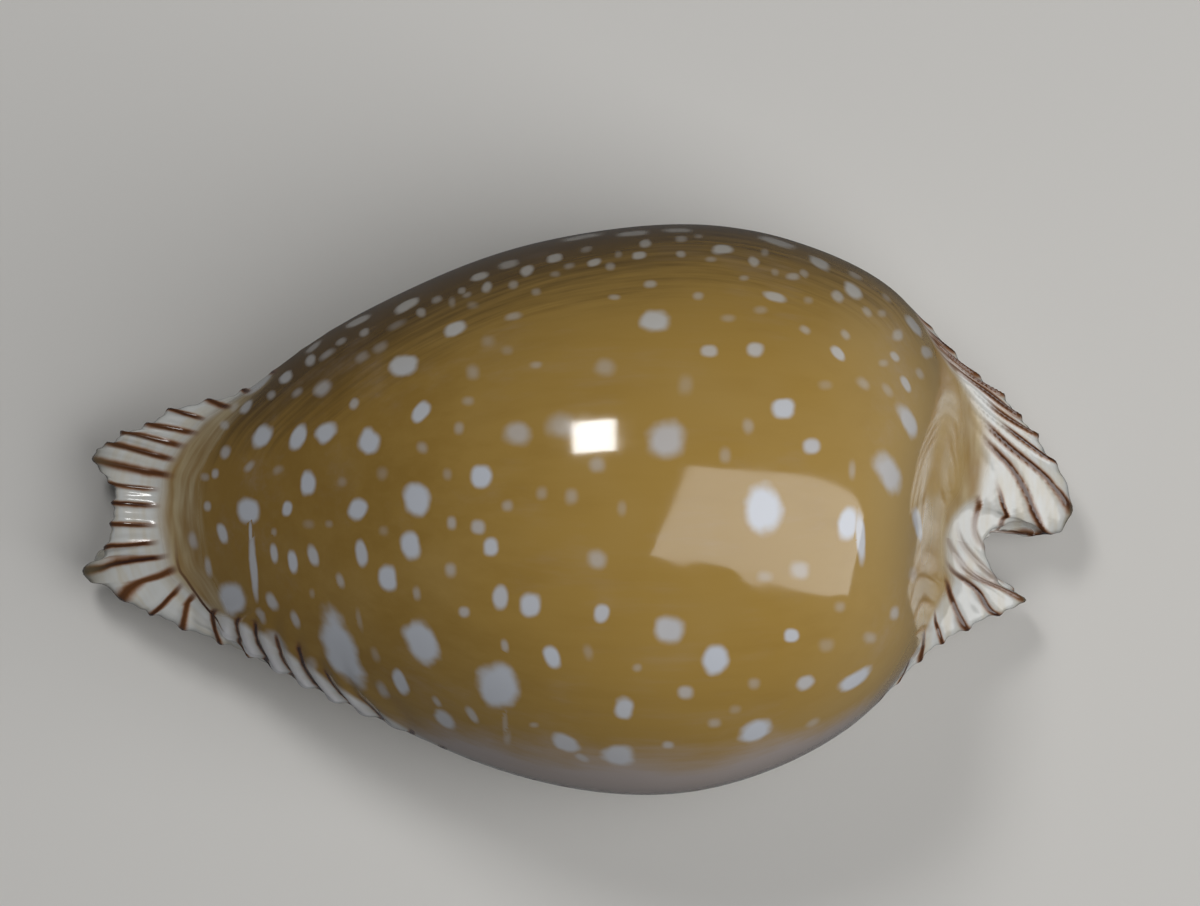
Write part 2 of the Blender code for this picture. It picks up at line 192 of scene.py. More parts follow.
# The edge of the mouth.
MOUTH_EDGE = [
    (0, 25.1, -2.4, 5.3),
    (1, 26.2, -1.4, 4.4),
    (1.6, 27.7, -1.5, 3.3),
    (2, 28.7, -1.7, 2.7),
    (2.4, 28.6, -1.4, 2.2),
    (3, 27.6, -1.1, 1.9),
    (4, 26.2, -1.1, 1.6),
    (6, 23.7, -0.8, 1.4),
    (9, 19.8, 0.1, 1.3),
    (14, 12.0, 1.6, 1.3),
    (19, 3.4, 2.4, 1.3),
    (25, -7.4, 2.7, 1.3),
    (31, -18.4, 2.4, 1.3),
    (35, -25.8, 2.1, 1.5),
    (36, -27.6, 2.1, 1.8),
    (37, -29.3, 2.6, 2.7),
    (37.5, -29.2, 2.0, 3.4),
    (38, -28.8, 1.4, 4.0),
    (39, -28.5, 0.4, 4.4),
    (40, -28.6, -0.9, 4.4),
    (41, -29.1, -2.3, 3.6),
    (41.7, -29.9, -3.3, 2.6),
    (42.2, -29.7, -3.6, 2.1),
    (43, -28.4, -3.0, 1.6),
    (45, -25.2, -2.2, 1.4),
    (49, -18.2, -1.1, 1.3),
    (55, -7.0, -0.4, 1.3),
    (61, 4.0, -0.6, 1.3),
    (66, 13.0, -1.7, 1.3),
    (70, 20.3, -3.3, 1.4),
    (72, 23.9, -4.3, 1.6),
    (73, 25.7, -4.8, 1.8),
    (74, 27.3, -5.2, 2.5),
    (74.6, 26.5, -4.7, 3.6),
    (75.3, 25.6, -3.6, 4.8),
]

# The inner edge of the lips, where the mouth opens into the hollow.
INNER_EDGE = [
    (0, 22.9, -2.3, 5.2),
    (3, 22.9, -0.9, 4.4),
    (6, 21.0, -0.2, 4.0),
    (9, 17.6, 0.9, 3.9),
    (14, 11.0, 2.3, 3.9),
    (19, 2.9, 3.1, 3.9),
    (25, -7.0, 3.4, 3.9),
    (31, -17.0, 3.0, 3.9),
    (35, -22.4, 2.4, 4.1),
    (37, -24.0, 1.4, 4.5),
    (39, -24.6, 0.3, 4.8),
    (41, -24.4, -1.3, 4.7),
    (43, -23.4, -2.4, 4.2),
    (45, -21.6, -2.5, 4.0),
    (49, -16.6, -1.8, 3.9),
    (55, -6.6, -1.1, 3.9),
    (61, 3.6, -1.3, 3.9),
    (66, 11.8, -2.3, 3.9),
    (70, 18.4, -3.9, 4.0),
    (73, 22.2, -4.4, 4.4),
]

# Heights that change round the shell: tooth, height.
FLANGE_TOP = [
    (0, 7.5),
    (1, 7.2),
    (2, 6.4),
    (3, 6.5),
    (4, 7.0),
    (6, 7.9),
    (8, 8.9),
    (11, 10.0),
    (20, 10.4),
    (29, 9.1),
    (31, 8.0),
    (33, 7.2),
    (35, 6.6),
    (37, 5.9),
    (38, 6.5),
    (39.5, 6.9),
    (41, 6.4),
    (42, 5.5),
    (43, 6.0),
    (45, 6.3),
    (48, 7.0),
    (51, 8.3),
    (54.4, 9.6),
    (61, 10.4),
    (67.8, 9.6),
    (71, 8.3),
    (73, 7.0),
    (74, 6.2),
    (75, 7.1),
]
LAND_HEIGHT = [  # worn off level where it is below 0
    (0, 5.2),
    (1, 4.3),
    (2, 2.4),
    (3, 1.5),
    (5, 0.9),
    (8, 0.35),
    (12, 0.0),
    (19, -0.3),
    (26, 0.0),
    (31, 0.5),
    (34, 1.0),
    (36, 1.5),
    (37, 2.3),
    (38, 3.8),
    (39, 4.3),
    (40, 4.3),
    (41, 3.4),
    (42, 1.9),
    (43, 1.4),
    (45, 0.9),
    (48, 0.4),
    (52, 0.0),
    (59, -0.3),
    (66, 0.0),
    (70, 0.4),
    (72, 1.0),
    (73, 1.4),
    (74, 2.1),
    (75, 4.2),
]

# How the back's slope changes from upright sides to gentler ends: tooth, power.
SLOPE_POWER = [
    (0, 0.45),
    (10, 0.48),
    (20, 0.5),
    (30, 0.62),
    (37, 0.84),
    (42, 0.84),
    (50, 0.62),
    (60, 0.5),
]

# How full the shoulder is where the back turns down, from 2 for an oval: tooth, fullness.
SHOULDER = [(0, 2.8), (8, 2.7), (16, 2.2), (24, 2.0), (52, 2.0), (60, 2.2), (68, 2.7)]

# How far each column belongs to an end, where the ridges climb over the margin: tooth, share.
END_SHARE = [
    (0, 1),
    (5, 1),
    (8, 0.9),
    (11, 0),
    (20, 0),
    (27, 0),
    (30, 0.6),
    (33, 1),
    (39, 1),
    (45, 1),
    (50, 0.9),
    (54, 0.1),
    (57, 0),
    (66, 0),
    (69, 0.4),
    (72, 1),
]

# How many teeth a ridge swings round on its way from the margin up to the neck: tooth, teeth.
RIDGE_SWING = [
    (0, 3.2),
    (2, 3.8),
    (4, 4.5),
    (7, 4.5),
    (10, 2.0),
    (12, 0),
    (31, 0),
    (40, 0),
    (42, -0.8),
    (44, -1.6),
    (46, -0.5),
    (48, 0),
    (67, 0),
    (70, 1.0),
    (72, 1.4),
    (74, 2.4),
]
SWING_POWER = 1.36
STEEPEST_LINES = 5.0  # lines in a millimetre
WIDEST_PITCH = 1.9

# Where the white enamel and the brown lines begin: tooth, millimetres below the back's foot.
ENAMEL_START = [
    (0, 2.0),
    (3, 3.2),
    (5, 3.4),
    (7, 2.0),
    (9, 0.8),
    (12, 2.6),
    (20, 3.4),
    (28, 2.2),
    (31, 0.2),
    (33, 0.2),
    (35, 0.5),
    (39, 0.6),
    (43, 0.4),
    (45, -0.8),
    (46, -2.2),
    (47, -3.2),
    (49, -3.4),
    (51, -2.0),
    (54, 0.3),
    (60, 0.6),
    (66, 0.4),
    (70, 0.0),
    (72, 0.9),
    (74, 1.8),
]
LINE_START = [
    (0, 2.6),
    (2, 3.0),
    (3, 3.8),
    (5, 3.8),
    (6.7, 3.7),
    (7.7, 2.8),
    (9, 1.6),
    (12, 2.4),
    (20, 3.0),
    (28, 2.0),
    (30, 0.0),
    (33, 0.3),
    (36, 0.8),
    (39, 1.0),
    (42, 1.0),
    (44, 0.0),
    (45, -1.6),
    (46, -4.0),
    (48, -5.5),
    (50, -4.5),
    (54, 0.4),
    (60, 1.4),
    (66, 1.0),
    (70, -0.4),
    (73, 0.8),
    (75, 2.0),
]

# How strong the lines and ridges are: weak where they run round the notch.
LINE_SHARE = [
    (0, 0.3),
    (1, 0.5),
    (1.8, 1),
    (74, 1),
    (74.6, 0.5),
    (75.2, 0.3),
]

# The thin dark line along the back's foot at the front: tooth, strength.
EDGE_SHARE = [
    (0, 0),
    (40.5, 0),
    (42, 0.4),
    (44, 0.8),
    (45.2, 1),
    (46, 0),
]

# The white beads of the front's lower side: how full they are, how high they reach and how they lean.
BEAD_SHARE = [
    (0, 0),
    (44.5, 0),
    (46, 1),
    (51, 1),
    (53.5, 0),
]
BEAD_TOP = 8.0
BEAD_LEAN = 0.33  # teeth in a millimetre
BEAD_REACH = 0.45  # from a line to where a bead is full, as a share of the tooth spacing

# Where the streaked necks begin, over what distance, and how streaked each column's neck is.
NECK_START = [
    (0, 0.0),
    (9, 0.0),
    (30, -2.6),
    (34, -3.6),
    (40, -3.8),
    (44, -3.6),
    (48, -2.6),
    (70, 0.0),
]
NECK_FADE = 2.0
NECK_SHARE = [
    (0, 1),
    (6, 1),
    (9, 0.4),
    (12, 0),
    (29, 0),
    (32, 1),
    (46, 1),
    (49, 0.4),
    (52, 0),
    (68, 0),
    (71, 1),
]

# Where the pale callus of the inner lip's side begins, how thick it lies there, and its fade.
CALLUS_START = [
    (48, -1.0),
    (52, -5.0),
    (55, -10.0),
    (60, -11.5),
    (65, -10.5),
    (69, -5.0),
    (72, 0.0),
]
CALLUS_SHARE = [
    (0, 0),
    (47, 0),
    (51, 0.5),
    (55, 1),
    (65, 1),
    (69, 0.7),
    (72, 0),
]
CALLUS_FADE = 6.5

# The distances below the foot between which the back darkens to its rim.
RIM_FADE = (-16.0, -3.0)

# How strong the surface's features are from level to level: the levels, and the shares there.
RIDGED_ENDS = ([1.2, 1.6, 2.6, 4.0, 5.0, 5.5], [0, 0.75, 1.0, 1.0, 1.1, 0])
RIDGED_SIDES = ([2.05, 2.6, 3.0, 4.0, 5.0, 5.5], [0, 0.9, 1.0, 1.0, 1.1, 0])
PILLOWED = ([2.0, 3.0], [1, 0])
SWOLLEN = ([1.6, 2.2], [1, 0])
LINED = ([5.0, 5.6], [1, 0])
BEADED = ([1.2, 1.6], [1, 0])
HOLLOW_LEVEL = 6.2  # the hollow's material begins here
START_REACH = 3.0  # how far a marking's start is measured to either side

# The brown lines' half widths, narrowest and widest, and how near the middle they are full.
RIM_WIDTHS = (0.26, 0.42)
RIM_FULL = 0.08
CORE_WIDTHS = (0.17, 0.29)
CORE_FULL = 0.04

# Waves in a metre of the noise in the colours and the gloss, along X, Y and Z where there are three.
FINE_WOBBLE = 700.0
BROAD_WOBBLE = 180.0
GROWTH_LINES = (150, 1500, 1500)
WORN_PATCHES = 420.0
PORES = 2600.0
FINE_STREAKS = (90, 1300, 1300)
BROAD_STREAKS = (60, 420, 420)
CLOUDS = 110.0
HOLLOW_CLOUDS = 150.0
RIM_BANDS = 90.0
NECK_BANDS = 200.0
SPOT_RIPPLES = 520.0

SPOT_BOXINESS = 2.3  # 2 is an oval
SPOTTED_LEVEL = 2.4
SPOT_BATCHES = 40
CLEAR_OF_SPOTS = 9.0  # spot radii
SHELL_IOR = 1.65

# The lights: place, the way the back faces, the way the first size runs, sizes.
KEY_LIGHT = ((-120, 250, 430), (-0.25, 0.5, 0.83), (1, 0, 0), (98, 125))
PANEL_LIGHT = ((400, -125, 258), (0.4, 0, 0.91), (0.9, -0.24, -0.4), (810, 300))

# The floor and the camera, in metres.
FLOOR_REACH = 0.7
FLOOR_ROUGHNESS = 0.9
NEAREST_SEEN = 0.01

# Where the enamel of the back is wavy, and the share of those waves elsewhere on the back.
SWELL_PLACE = np.array([7.0, -5.5])
SWELL_REACH = np.array([6.0, 3.5])
SWELL_ELSEWHERE = 0.06

# The clear horn-coloured tips of the knobs, the hook and the spur: x, y, height, reach.
CLEAR_TIPS = [
    (-30.4, -4.0, 3.8, 1.5),
    (-29.8, 2.9, 4.0, 1.4),
    (27.9, -5.6, 4.0, 0.9),
    (30.6, -0.6, 4.0, 1.0),
]

# How dark the rim of the back is: tooth, share.
RIM_SHARE = [
    (0, 0),
    (8, 0),
    (12, 0.5),
    (20, 1),
    (30, 1),
    (36, 0.2),
    (44, 0.1),
    (50, 0.2),
    (56, 0),
]

# The white spots that show from above: pixel x, pixel y, half length and half width in pixels,
# turn in degrees anticlockwise from +X, strength.
SPOTS = [
    (407, 305, 13, 4.5, 28, 0.9),
    (421, 312, 5, 5, 0, 0.6),
    (358, 321, 14, 3.5, 27, 0.8),
    (364, 332, 5, 4, 30, 0.6),
    (341, 341, 6, 3.5, 35, 0.5),
    (313, 347, 10, 3, 40, 0.6),
    (327, 354, 10, 4, 35, 0.5),
    (310, 360, 6, 5, 40, 0.7),
    (286, 377, 8, 5, 45, 0.8),
    (259, 384, 17, 4, 37, 0.9),
    (271, 395, 5, 4, 40, 0.5),
    (297, 393, 7, 4, 40, 0.4),
    (246, 407, 8, 4.5, 50, 0.7),
    (234, 407, 6, 4, 45, 0.4),
    (322, 388, 10, 7, 40, 0.6),
    (354, 404, 6, 5, 60, 0.6),
    (421, 412, 11, 7, 50, 1),
    (403, 365, 15, 10, 15, 1),
    (381, 347, 8, 5, 30, 0.35),
    (362, 357, 8, 5, 30, 0.35),
    (396, 325, 10, 4, 25, 0.3),
    (455, 328, 12, 7, 20, 1),
    (509, 264, 10, 4, 12, 0.6),
    (480, 276, 9, 4, 18, 0.8),
    (487, 287, 6, 5, 60, 0.7),
    (513, 285, 5, 5, 0, 0.5),
    (536, 292, 5, 4, 10, 0.4),
    (514, 316, 9, 4, 10, 0.5),
    (527, 270, 7, 5, 35, 0.8),
    (554, 258, 8, 4.5, 15, 0.8),
    (569, 266, 6, 3.5, 15, 0.4),
    (555, 274, 5, 3, 0, 0.35),
    (594, 262, 7, 4, 15, 0.8),
    (586, 249, 6, 3, 15, 0.4),
    (611, 266, 5, 4, 0, 0.5),
    (639, 255, 7, 4, 8, 0.8),
    (646, 243, 6, 4, 10, 0.7),
    (618, 254, 4, 4, 0, 0.35),
    (581, 237, 20, 2.5, 10, 0.7),
    (634, 233, 15, 3, 5, 0.7),
    (677, 230, 14, 2.5, 0, 0.6),
    (681, 239, 6, 3.5, 0, 0.5),
    (681, 254, 5, 3.5, 0, 0.6),
    (650, 284, 7, 4, 0, 0.6),
    (614, 297, 6, 3, 0, 0.5),
    (655, 321, 15, 12, 0, 1),
    (606, 368, 11, 9, 0, 0.35),
    (536, 365, 6, 4, 0, 0.35),
    (473, 372, 8, 7, 90, 0.35),
    (468, 401, 6, 5, 0, 0.3),
    (488, 341, 8, 6, 0, 0.25),
    (462, 291, 4, 4, 0, 0.5),
    (467, 295, 5, 3, 20, 0.4),
    (452, 302, 6, 4, 90, 0.35),
    (437, 299, 6, 4, 20, 0.5),
    (473, 305, 6, 4, 0, 0.25),
    (507, 350, 6, 5, 0, 0.2),
    (686, 385, 10, 8, 90, 0.2),
    (723, 249, 11, 5, 0, 0.9),
    (698, 236, 5, 3, 0, 0.35),
    (711, 259, 6, 3, 0, 0.4),
    (753, 261, 6, 5, -40, 0.7),
    (765, 252, 4, 4, 0, 0.4),
    (793, 276, 7, 4, 0, 0.6),
    (804, 273, 5, 4, -40, 0.5),
    (775, 272, 4, 4, 0, 0.35),
    (744, 278, 5, 3, 0, 0.4),
    (698, 296, 6, 4, 0, 0.5),
    (775, 297, 12, 5, -15, 0.85),
    (778, 242, 18, 4, -17, 0.8),
    (820, 263, 12, 5, -32, 0.9),
    (853, 290, 11, 7, -40, 1),
    (838, 296, 7, 5, -45, 0.7),
    (867, 312, 6, 4, -55, 0.5),
    (882, 313, 5, 4, 0, 0.4),
    (914, 325, 13, 5, -48, 0.95),
    (898, 334, 6, 6, 0, 0.6),
    (846, 335, 6, 4, -50, 0.5),
    (805, 329, 6, 4, -30, 0.5),
    (895, 356, 6, 4, -50, 0.7),
    (883, 363, 5, 4, 0, 0.35),
    (927, 352, 7, 6, -60, 0.7),
    (838, 353, 9, 5, -45, 0.9),
    (709, 350, 9, 6, 0, 0.75),
    (755, 350, 9, 8, 0, 0.85),
    (920, 373, 6, 4, -60, 0.4),
    (906, 384, 9, 4, -60, 0.8),
    (863, 383, 8, 5, -40, 0.35),
    (784, 408, 12, 10, 0, 1),
    (760, 310, 7, 4, 0, 0.3),
    (728, 318, 8, 4, 0, 0.3),
    (808, 300, 5, 4, 0, 0.3),
    (826, 385, 7, 5, 0, 0.2),
    (888, 390, 8, 4, -55, 0.3),
    (887, 298, 6, 3, -45, 0.4),
    (855, 275, 8, 3, -30, 0.5),
    (935, 342, 8, 3, -45, 0.5),
    (262, 436, 14, 8, 47, 1),
    (298, 437, 14, 7, 62, 1),
    (326, 432, 13, 9, 40, 1),
    (369, 441, 13, 11, 60, 1),
    (225, 452, 7, 5, 60, 0.6),
    (215, 473, 5, 4, 90, 0.6),
    (224, 425, 5, 5, 0, 0.5),
    (205, 477, 5, 4, 0, 0.35),
    (249, 467, 7, 4, 50, 0.45),
    (278, 470, 6, 4, 30, 0.25),
    (422, 447, 6, 6, 0, 0.35),
    (382, 474, 7, 6, 90, 0.2),
    (342, 482, 5, 5, 0, 0.2),
    (308, 484, 12, 8, 90, 1),
    (207, 506, 5, 4, 90, 0.6),
    (248, 510, 12.5, 11.5, 90, 1),
    (250.5, 532, 15, 1.8, 92, 0.75),
    (253, 567, 32, 4, 93, 0.85),
    (287, 509, 8, 5, 80, 0.9),
    (357, 510, 11, 9, 60, 1),
    (417, 500, 16, 13, 90, 1),
    (222, 533, 10, 5, 105, 0.85),
    (274, 532, 4, 3, 90, 0.35),
    (309, 524, 6, 5, 0, 0.2),
    (329, 524, 4, 4, 0, 0.25),
    (384, 531, 5, 5, 0, 0.2),
    (193, 540, 9, 5, 105, 0.5),
    (410, 546, 14, 10, 100, 1),
    (361, 553, 13, 6, 100, 0.9),
    (274, 553, 10, 4, 95, 0.8),
    (293, 562, 12, 5, 98, 0.95),
    (313, 555, 11, 5, 102, 0.8),
    (208, 567, 11, 4, 100, 0.55),
    (388, 578, 13, 9, 95, 1),
    (340, 581, 8, 4, 110, 0.5),
    (312, 594, 5, 3, 100, 0.25),
    (272, 602, 10, 5, 115, 0.7),
    (417, 593, 7, 4, 100, 0.4),
    (459, 428, 6, 5, 90, 0.35),
    (516, 433, 14, 12, 0, 0.55),
    (562, 425, 16, 13, 0, 0.4),
    (481, 477, 11.5, 10.5, 90, 1),
    (447, 474, 6, 5, 90, 0.25),
    (597, 465, 8, 8, 0, 0.35),
    (541, 493, 7, 6, 90, 0.25),
    (571, 497, 8, 7, 90, 0.3),
    (508, 506, 6, 6, 0, 0.35),
    (622, 508, 8, 5, 90, 0.2),
    (452, 523, 7, 5, 90, 0.5),
    (478, 527, 7, 7, 0, 0.6),
    (490, 547, 9, 8, 90, 0.9),
    (450, 570, 8, 6, 90, 0.45),
    (596, 560, 10, 10, 0, 0.45),
    (500, 598, 12, 8, 92, 0.85),
    (531, 605, 12, 10, 95, 0.95),
    (666, 440, 19, 18, 0, 0.7),
    (811, 446, 9, 8, 0, 0.8),
    (748, 427, 8, 6, 90, 0.3),
    (725, 455, 8, 6, 90, 0.25),
    (852, 470, 10, 4, 90, 0.3),
    (909, 422, 20, 7, -65, 0.8),
    (890, 473, 22, 12, -65, 0.75),
    (918, 524, 16, 5, -77, 0.9),
    (763, 508, 25, 18, 90, 1),
    (848, 524, 18, 10, 80, 1),
    (861, 536, 26, 5, 95, 0.9),
    (913, 575, 8, 5, 90, 0.35),
    (800, 570, 10, 9, 0, 0.5),
    (765, 577, 8, 6, 0, 0.3),
    (232, 598, 16, 13, 115, 0.95),
    (262, 615, 8, 4, 120, 0.5),
    (295, 620, 9, 4, 115, 0.6),
    (279, 642, 15, 6, 135, 0.6),
    (341, 652, 40, 15, 112, 1),
    (313, 663, 7, 5, 120, 0.4),
    (359, 619, 12, 3, 100, 0.25),
    (400, 682, 14, 6, 115, 0.95),
    (383, 690, 10, 5, 120, 0.5),
    (375, 655, 8, 4, 110, 0.25),
    (422, 643, 24, 15, 115, 1),
    (464, 612, 6, 6, 0, 0.6),
    (437, 702, 7, 3, 125, 0.5),
    (445, 720, 12, 7, 135, 0.85),
    (472, 715, 9, 4, 125, 0.6),
    (602, 613, 9, 8, 90, 0.85),
    (505, 646, 7, 4, 105, 0.5),
    (552, 658, 12, 8, 115, 1),
    (498, 687, 25, 19, 100, 1),
    (505, 725, 14, 3, 90, 0.3),
    (588, 652, 8, 5, 110, 0.2),
    (624, 708, 11, 10, 90, 0.9),
    (686, 692, 8, 7, 0, 0.6),
    (637, 668, 5, 4, 0, 0.3),
    (716, 660, 14, 13, 90, 1),
    (714, 723, 7, 5, 0, 0.35),
    (668, 745, 6, 4, 0, 0.5),
    (566, 743, 14, 8, 150, 0.85),
    (582, 758, 8, 4, 150, 0.5),
    (619, 756, 16, 11, 0, 0.85),
    (534, 725, 5, 3, 0, 0.35),
    (507, 738, 8, 4, 90, 0.3),
    (670, 630, 16, 14, 0, 0.8),
    (792, 636, 8, 7, 0, 0.9),
    (806, 683, 9, 7, 20, 0.75),
    (856, 680, 18, 7, 35, 0.95),
    (755, 732, 18, 10, 27, 1),
    (754, 684, 6, 6, 0, 0.3),
    (895, 613, 7, 5, 90, 0.5),
    (870, 638, 7, 6, 0, 0.3),
    (840, 607, 6, 6, 0, 0.25),
    (827, 645, 8, 7, 0, 0.2),
    (813, 723, 8, 4, 30, 0.3),
    (735, 710, 6, 5, 0, 0.2),
]


def closed_curve(stations):
    """Returns the smooth closed curve through rows of (tooth, values), as a function of tooth."""
    table = np.array(stations, dtype=float)
    table[:, 0] %= TEETH
    table = table[np.argsort(table[:, 0])]
    knots = table[:, 0]
    values = table[:, 1:]
    count = len(knots)
    gaps = np.diff(np.append(knots, knots[0] + TEETH))[:, None]
    pulls = (np.roll(values, -1, axis=0) - values) / gaps**2
    system = np.zeros((count, count))
    for row in range(count):
        before = 1 / gaps[row - 1, 0]
        after = 1 / gaps[row, 0]
        system[row, row - 1] += before
        system[row, row] += 2 * (before + after)
        system[row, (row + 1) % count] += after
    slopes = np.linalg.solve(system, 3 * (np.roll(pulls, 1, axis=0) + pulls))

    def at(teeth):
        place = np.mod(np.asarray(teeth) - knots[0], TEETH) + knots[0]
        start = np.searchsorted(knots, place, side="right") - 1
        end = (start + 1) % count
        gap = gaps[start]
        way = (place - knots[start])[:, None] / gap
        bend = way * way * (3 - 2 * way)
        leave = way * (1 - way) ** 2 * gap
        arrive = -way * way * (1 - way) * gap
        through = values[start] * (1 - bend) + values[end] * bend
        return through + slopes[start] * leave + slopes[end] * arrive

    return at


def straight(stations):
    """Returns the closed line through rows of (tooth, value), as a function of tooth."""
    table = np.array(stations, dtype=float)
    knots = np.append(table[:, 0], table[0, 0] + TEETH)
    values = np.append(table[:, 1], table[0, 1])

    def at(teeth):
        place = np.mod(np.asarray(teeth) - knots[0], TEETH) + knots[0]
        return np.interp(place, knots, values)

    return at


def raised(stations, rise):
    """Returns stations moved up by rise."""
    return [(tooth, x, y, height + rise) for tooth, x, y, height in stations]


margin_curve = closed_curve(OUTER_SIDE + FRONT_FLANGE + INNER_SIDE + REAR_FLANGE)
foot_curve = closed_curve(
    raised(OUTER_SIDE, SIDE_BAND) + FRONT_NECK + raised(INNER_SIDE, SIDE_BAND) + REAR_NECK
)
mouth_curve = closed_curve(MOUTH_EDGE)
inner_curve = closed_curve(INNER_EDGE)
flange_top = closed_curve(FLANGE_TOP)
land_height = closed_curve(LAND_HEIGHT)
slope_power = closed_curve(SLOPE_POWER)
shoulder = closed_curve(SHOULDER)
end_share = closed_curve(END_SHARE)


def mix(start, end, way):
    """Returns the blend of two values, from start at 0 to end at 1."""
    return start + (end - start) * way


def quarter(way, power):
    """Returns a quarter turn's drop, from 0 and level at 0 to 1 and upright at 1."""
    return 1 - (1 - way**power) ** (1 / power)


def dome(foot, summit, radii, crown_foot, teeth, way):
    """Returns a ring of a domed roof, from its summit at 0 to its foot at 1."""
    crown = (1 - way**3) ** 2
    out = foot[:, :2] - summit[:2]
    heading = out / np.linalg.norm(out, axis=1)[:, None]
    crown_reach = 1 / np.linalg.norm(heading / radii, axis=1)[:, None]
    plan = summit[:2] + way * mix(out, heading * crown_reach, crown)
    low = mix(foot[:, 2:], crown_foot, crown)
    power = mix(slope_power(teeth), CROWN_POWER, crown)
    turn = mix(shoulder(teeth), CROWN_SHOULDER, crown)
    return np.hstack([plan, low + (summit[2] - low) * (1 - way**turn) ** power])


def back(teeth, way):
    """The domed back, from the summit to its foot."""
    return dome(foot_curve(teeth), SUMMIT, CROWN_RADII, CROWN_FOOT, teeth, way)


def flange(teeth, way):
    """The band on the sides and the flanges at the ends, from the back's foot to the margin."""
    foot = foot_curve(teeth)
    margin = margin_curve(teeth)
    top = mix(foot[:, 2:], flange_top(teeth), way**2 * (3 - 2 * way))
    power = mix(1, FLANGE_EDGE_POWER, np.clip(end_share(teeth), 0, 1))
    height = mix(top, margin[:, 2:], quarter(way, power))
    return np.hstack([mix(foot[:, :2], margin[:, :2], way), height])


def land(teeth, way):
    """The worn flat across the teeth, from its outer side to its inner side."""
    margin = margin_curve(teeth)
    mouth = mouth_curve(teeth)
    span = margin[:, :2] - mouth[:, :2]
    half = np.minimum(LAND_WIDTH / np.linalg.norm(span, axis=1)[:, None], LAND_SHARE) / 2
    height = np.maximum(land_height(teeth), 0)
    return np.hstack([mouth[:, :2] + span * (LAND_PLACE + half * (1 - 2 * way)), height])


def base(teeth, way):
    """The rounded base, from the margin to the worn flat."""
    margin = margin_curve(teeth)
    outer = land(teeth, 0)
    height = mix(outer[:, 2:], margin[:, 2:], quarter(1 - way, BASE_POWER))
    return np.hstack([mix(margin[:, :2], outer[:, :2], way), height])


def lip(teeth, way):
    """The lip's roll into the mouth, from the worn flat to the mouth's edge."""
    inner = land(teeth, 1)
    mouth = mouth_curve(teeth)
    height = mix(inner[:, 2:], mouth[:, 2:], quarter(way, LIP_POWER))
    return np.hstack([mix(inner[:, :2], mouth[:, :2], way), height])


def throat(teeth, way):
    """The mouth's wall, from its edge to the hollow."""
    return mix(mouth_curve(teeth), inner_curve(teeth), way)


def hollow_foot(teeth):
    """The widest line of the hollow, set in from the back's foot by the wall."""
    foot = foot_curve(teeth)
    out = foot[:, :2] - SUMMIT[:2]
    inset = out * (1 - BACK_WALL / np.linalg.norm(out, axis=1)[:, None])
    return np.hstack([SUMMIT[:2] + inset, foot[:, 2:]])


def floor(teeth, way):
    """The hollow's floor, from the mouth's wall to the hollow's widest line."""
    inner = inner_curve(teeth)
    foot = hollow_foot(teeth)
    height = mix(inner[:, 2:], foot[:, 2:], quarter(way, FLOOR_POWER))
    return np.hstack([mix(inner[:, :2], foot[:, :2], way), height])


def roof(teeth, way):
    """The hollow's domed roof, from its foot up to its summit."""
    summit = SUMMIT - (0, 0, BACK_WALL)
    return dome(hollow_foot(teeth), summit, CROWN_RADII - BACK_WALL, CROWN_FOOT, teeth, 1 - way)


# The sections in order, with how many rings and how many columns a tooth each has.
FINE_COLUMNS = 12
FINE_WAY = 0.94  # the way down the back from which its rings are fine too
SECTIONS = [
    (back, 70, 4),
    (flange, 26, FINE_COLUMNS),
    (base, 22, FINE_COLUMNS),
    (land, 3, FINE_COLUMNS),
    (lip, 10, FINE_COLUMNS),
    (throat, 6, FINE_COLUMNS),
    (floor, 12, 2),
    (roof, 18, 2),
]

# The joins between sections that the real surface rounds off: level, reach, passes.
SOFT_JOINS = [(1.0, 0.4, 160), (5.0, 0.25, 30), (6.0, 0.25, 30)]


def ring_levels():
    """Returns every ring's level and its columns a tooth, from the first below the summit."""
    rings = []
    for section, (shape, count, columns) in enumerate(SECTIONS):
        for step in range(1, count + 1):
            way = step / count
            if shape is back:
                way = np.sin(way * np.pi / 2)
            if shape is roof:
                way = 1 - np.sin((1 - way) * np.pi / 2)
            fine = shape is back and way > FINE_WAY
            rings.append((section + way, FINE_COLUMNS if fine else columns))
    return rings[:-1]


def surface(teeth, level):
    """Returns the smooth surface's points at a level."""
    section = min(int(level), len(SECTIONS) - 1)
    return SECTIONS[section][0](teeth, level - section)


def strip(upper, lower):
    """Returns the triangles between two rings of (count, first vertex)."""
    upper_count, upper_first = upper
    lower_count, lower_first = lower
    triangles = []
    above = 0
    below = 0
    while above < upper_count or below < lower_count:
        next_above = (above + 1) * TEETH / upper_count
        next_below = (below + 1) * TEETH / lower_count
        a = upper_first + above % upper_count
        b = lower_first + below % lower_count
        if below == lower_count or (above < upper_count and next_above < next_below):
            above += 1
            triangles.append((a, b, upper_first + above % upper_count))
        else:
            below += 1
            triangles.append((a, b, lower_first + below % lower_count))
    return triangles


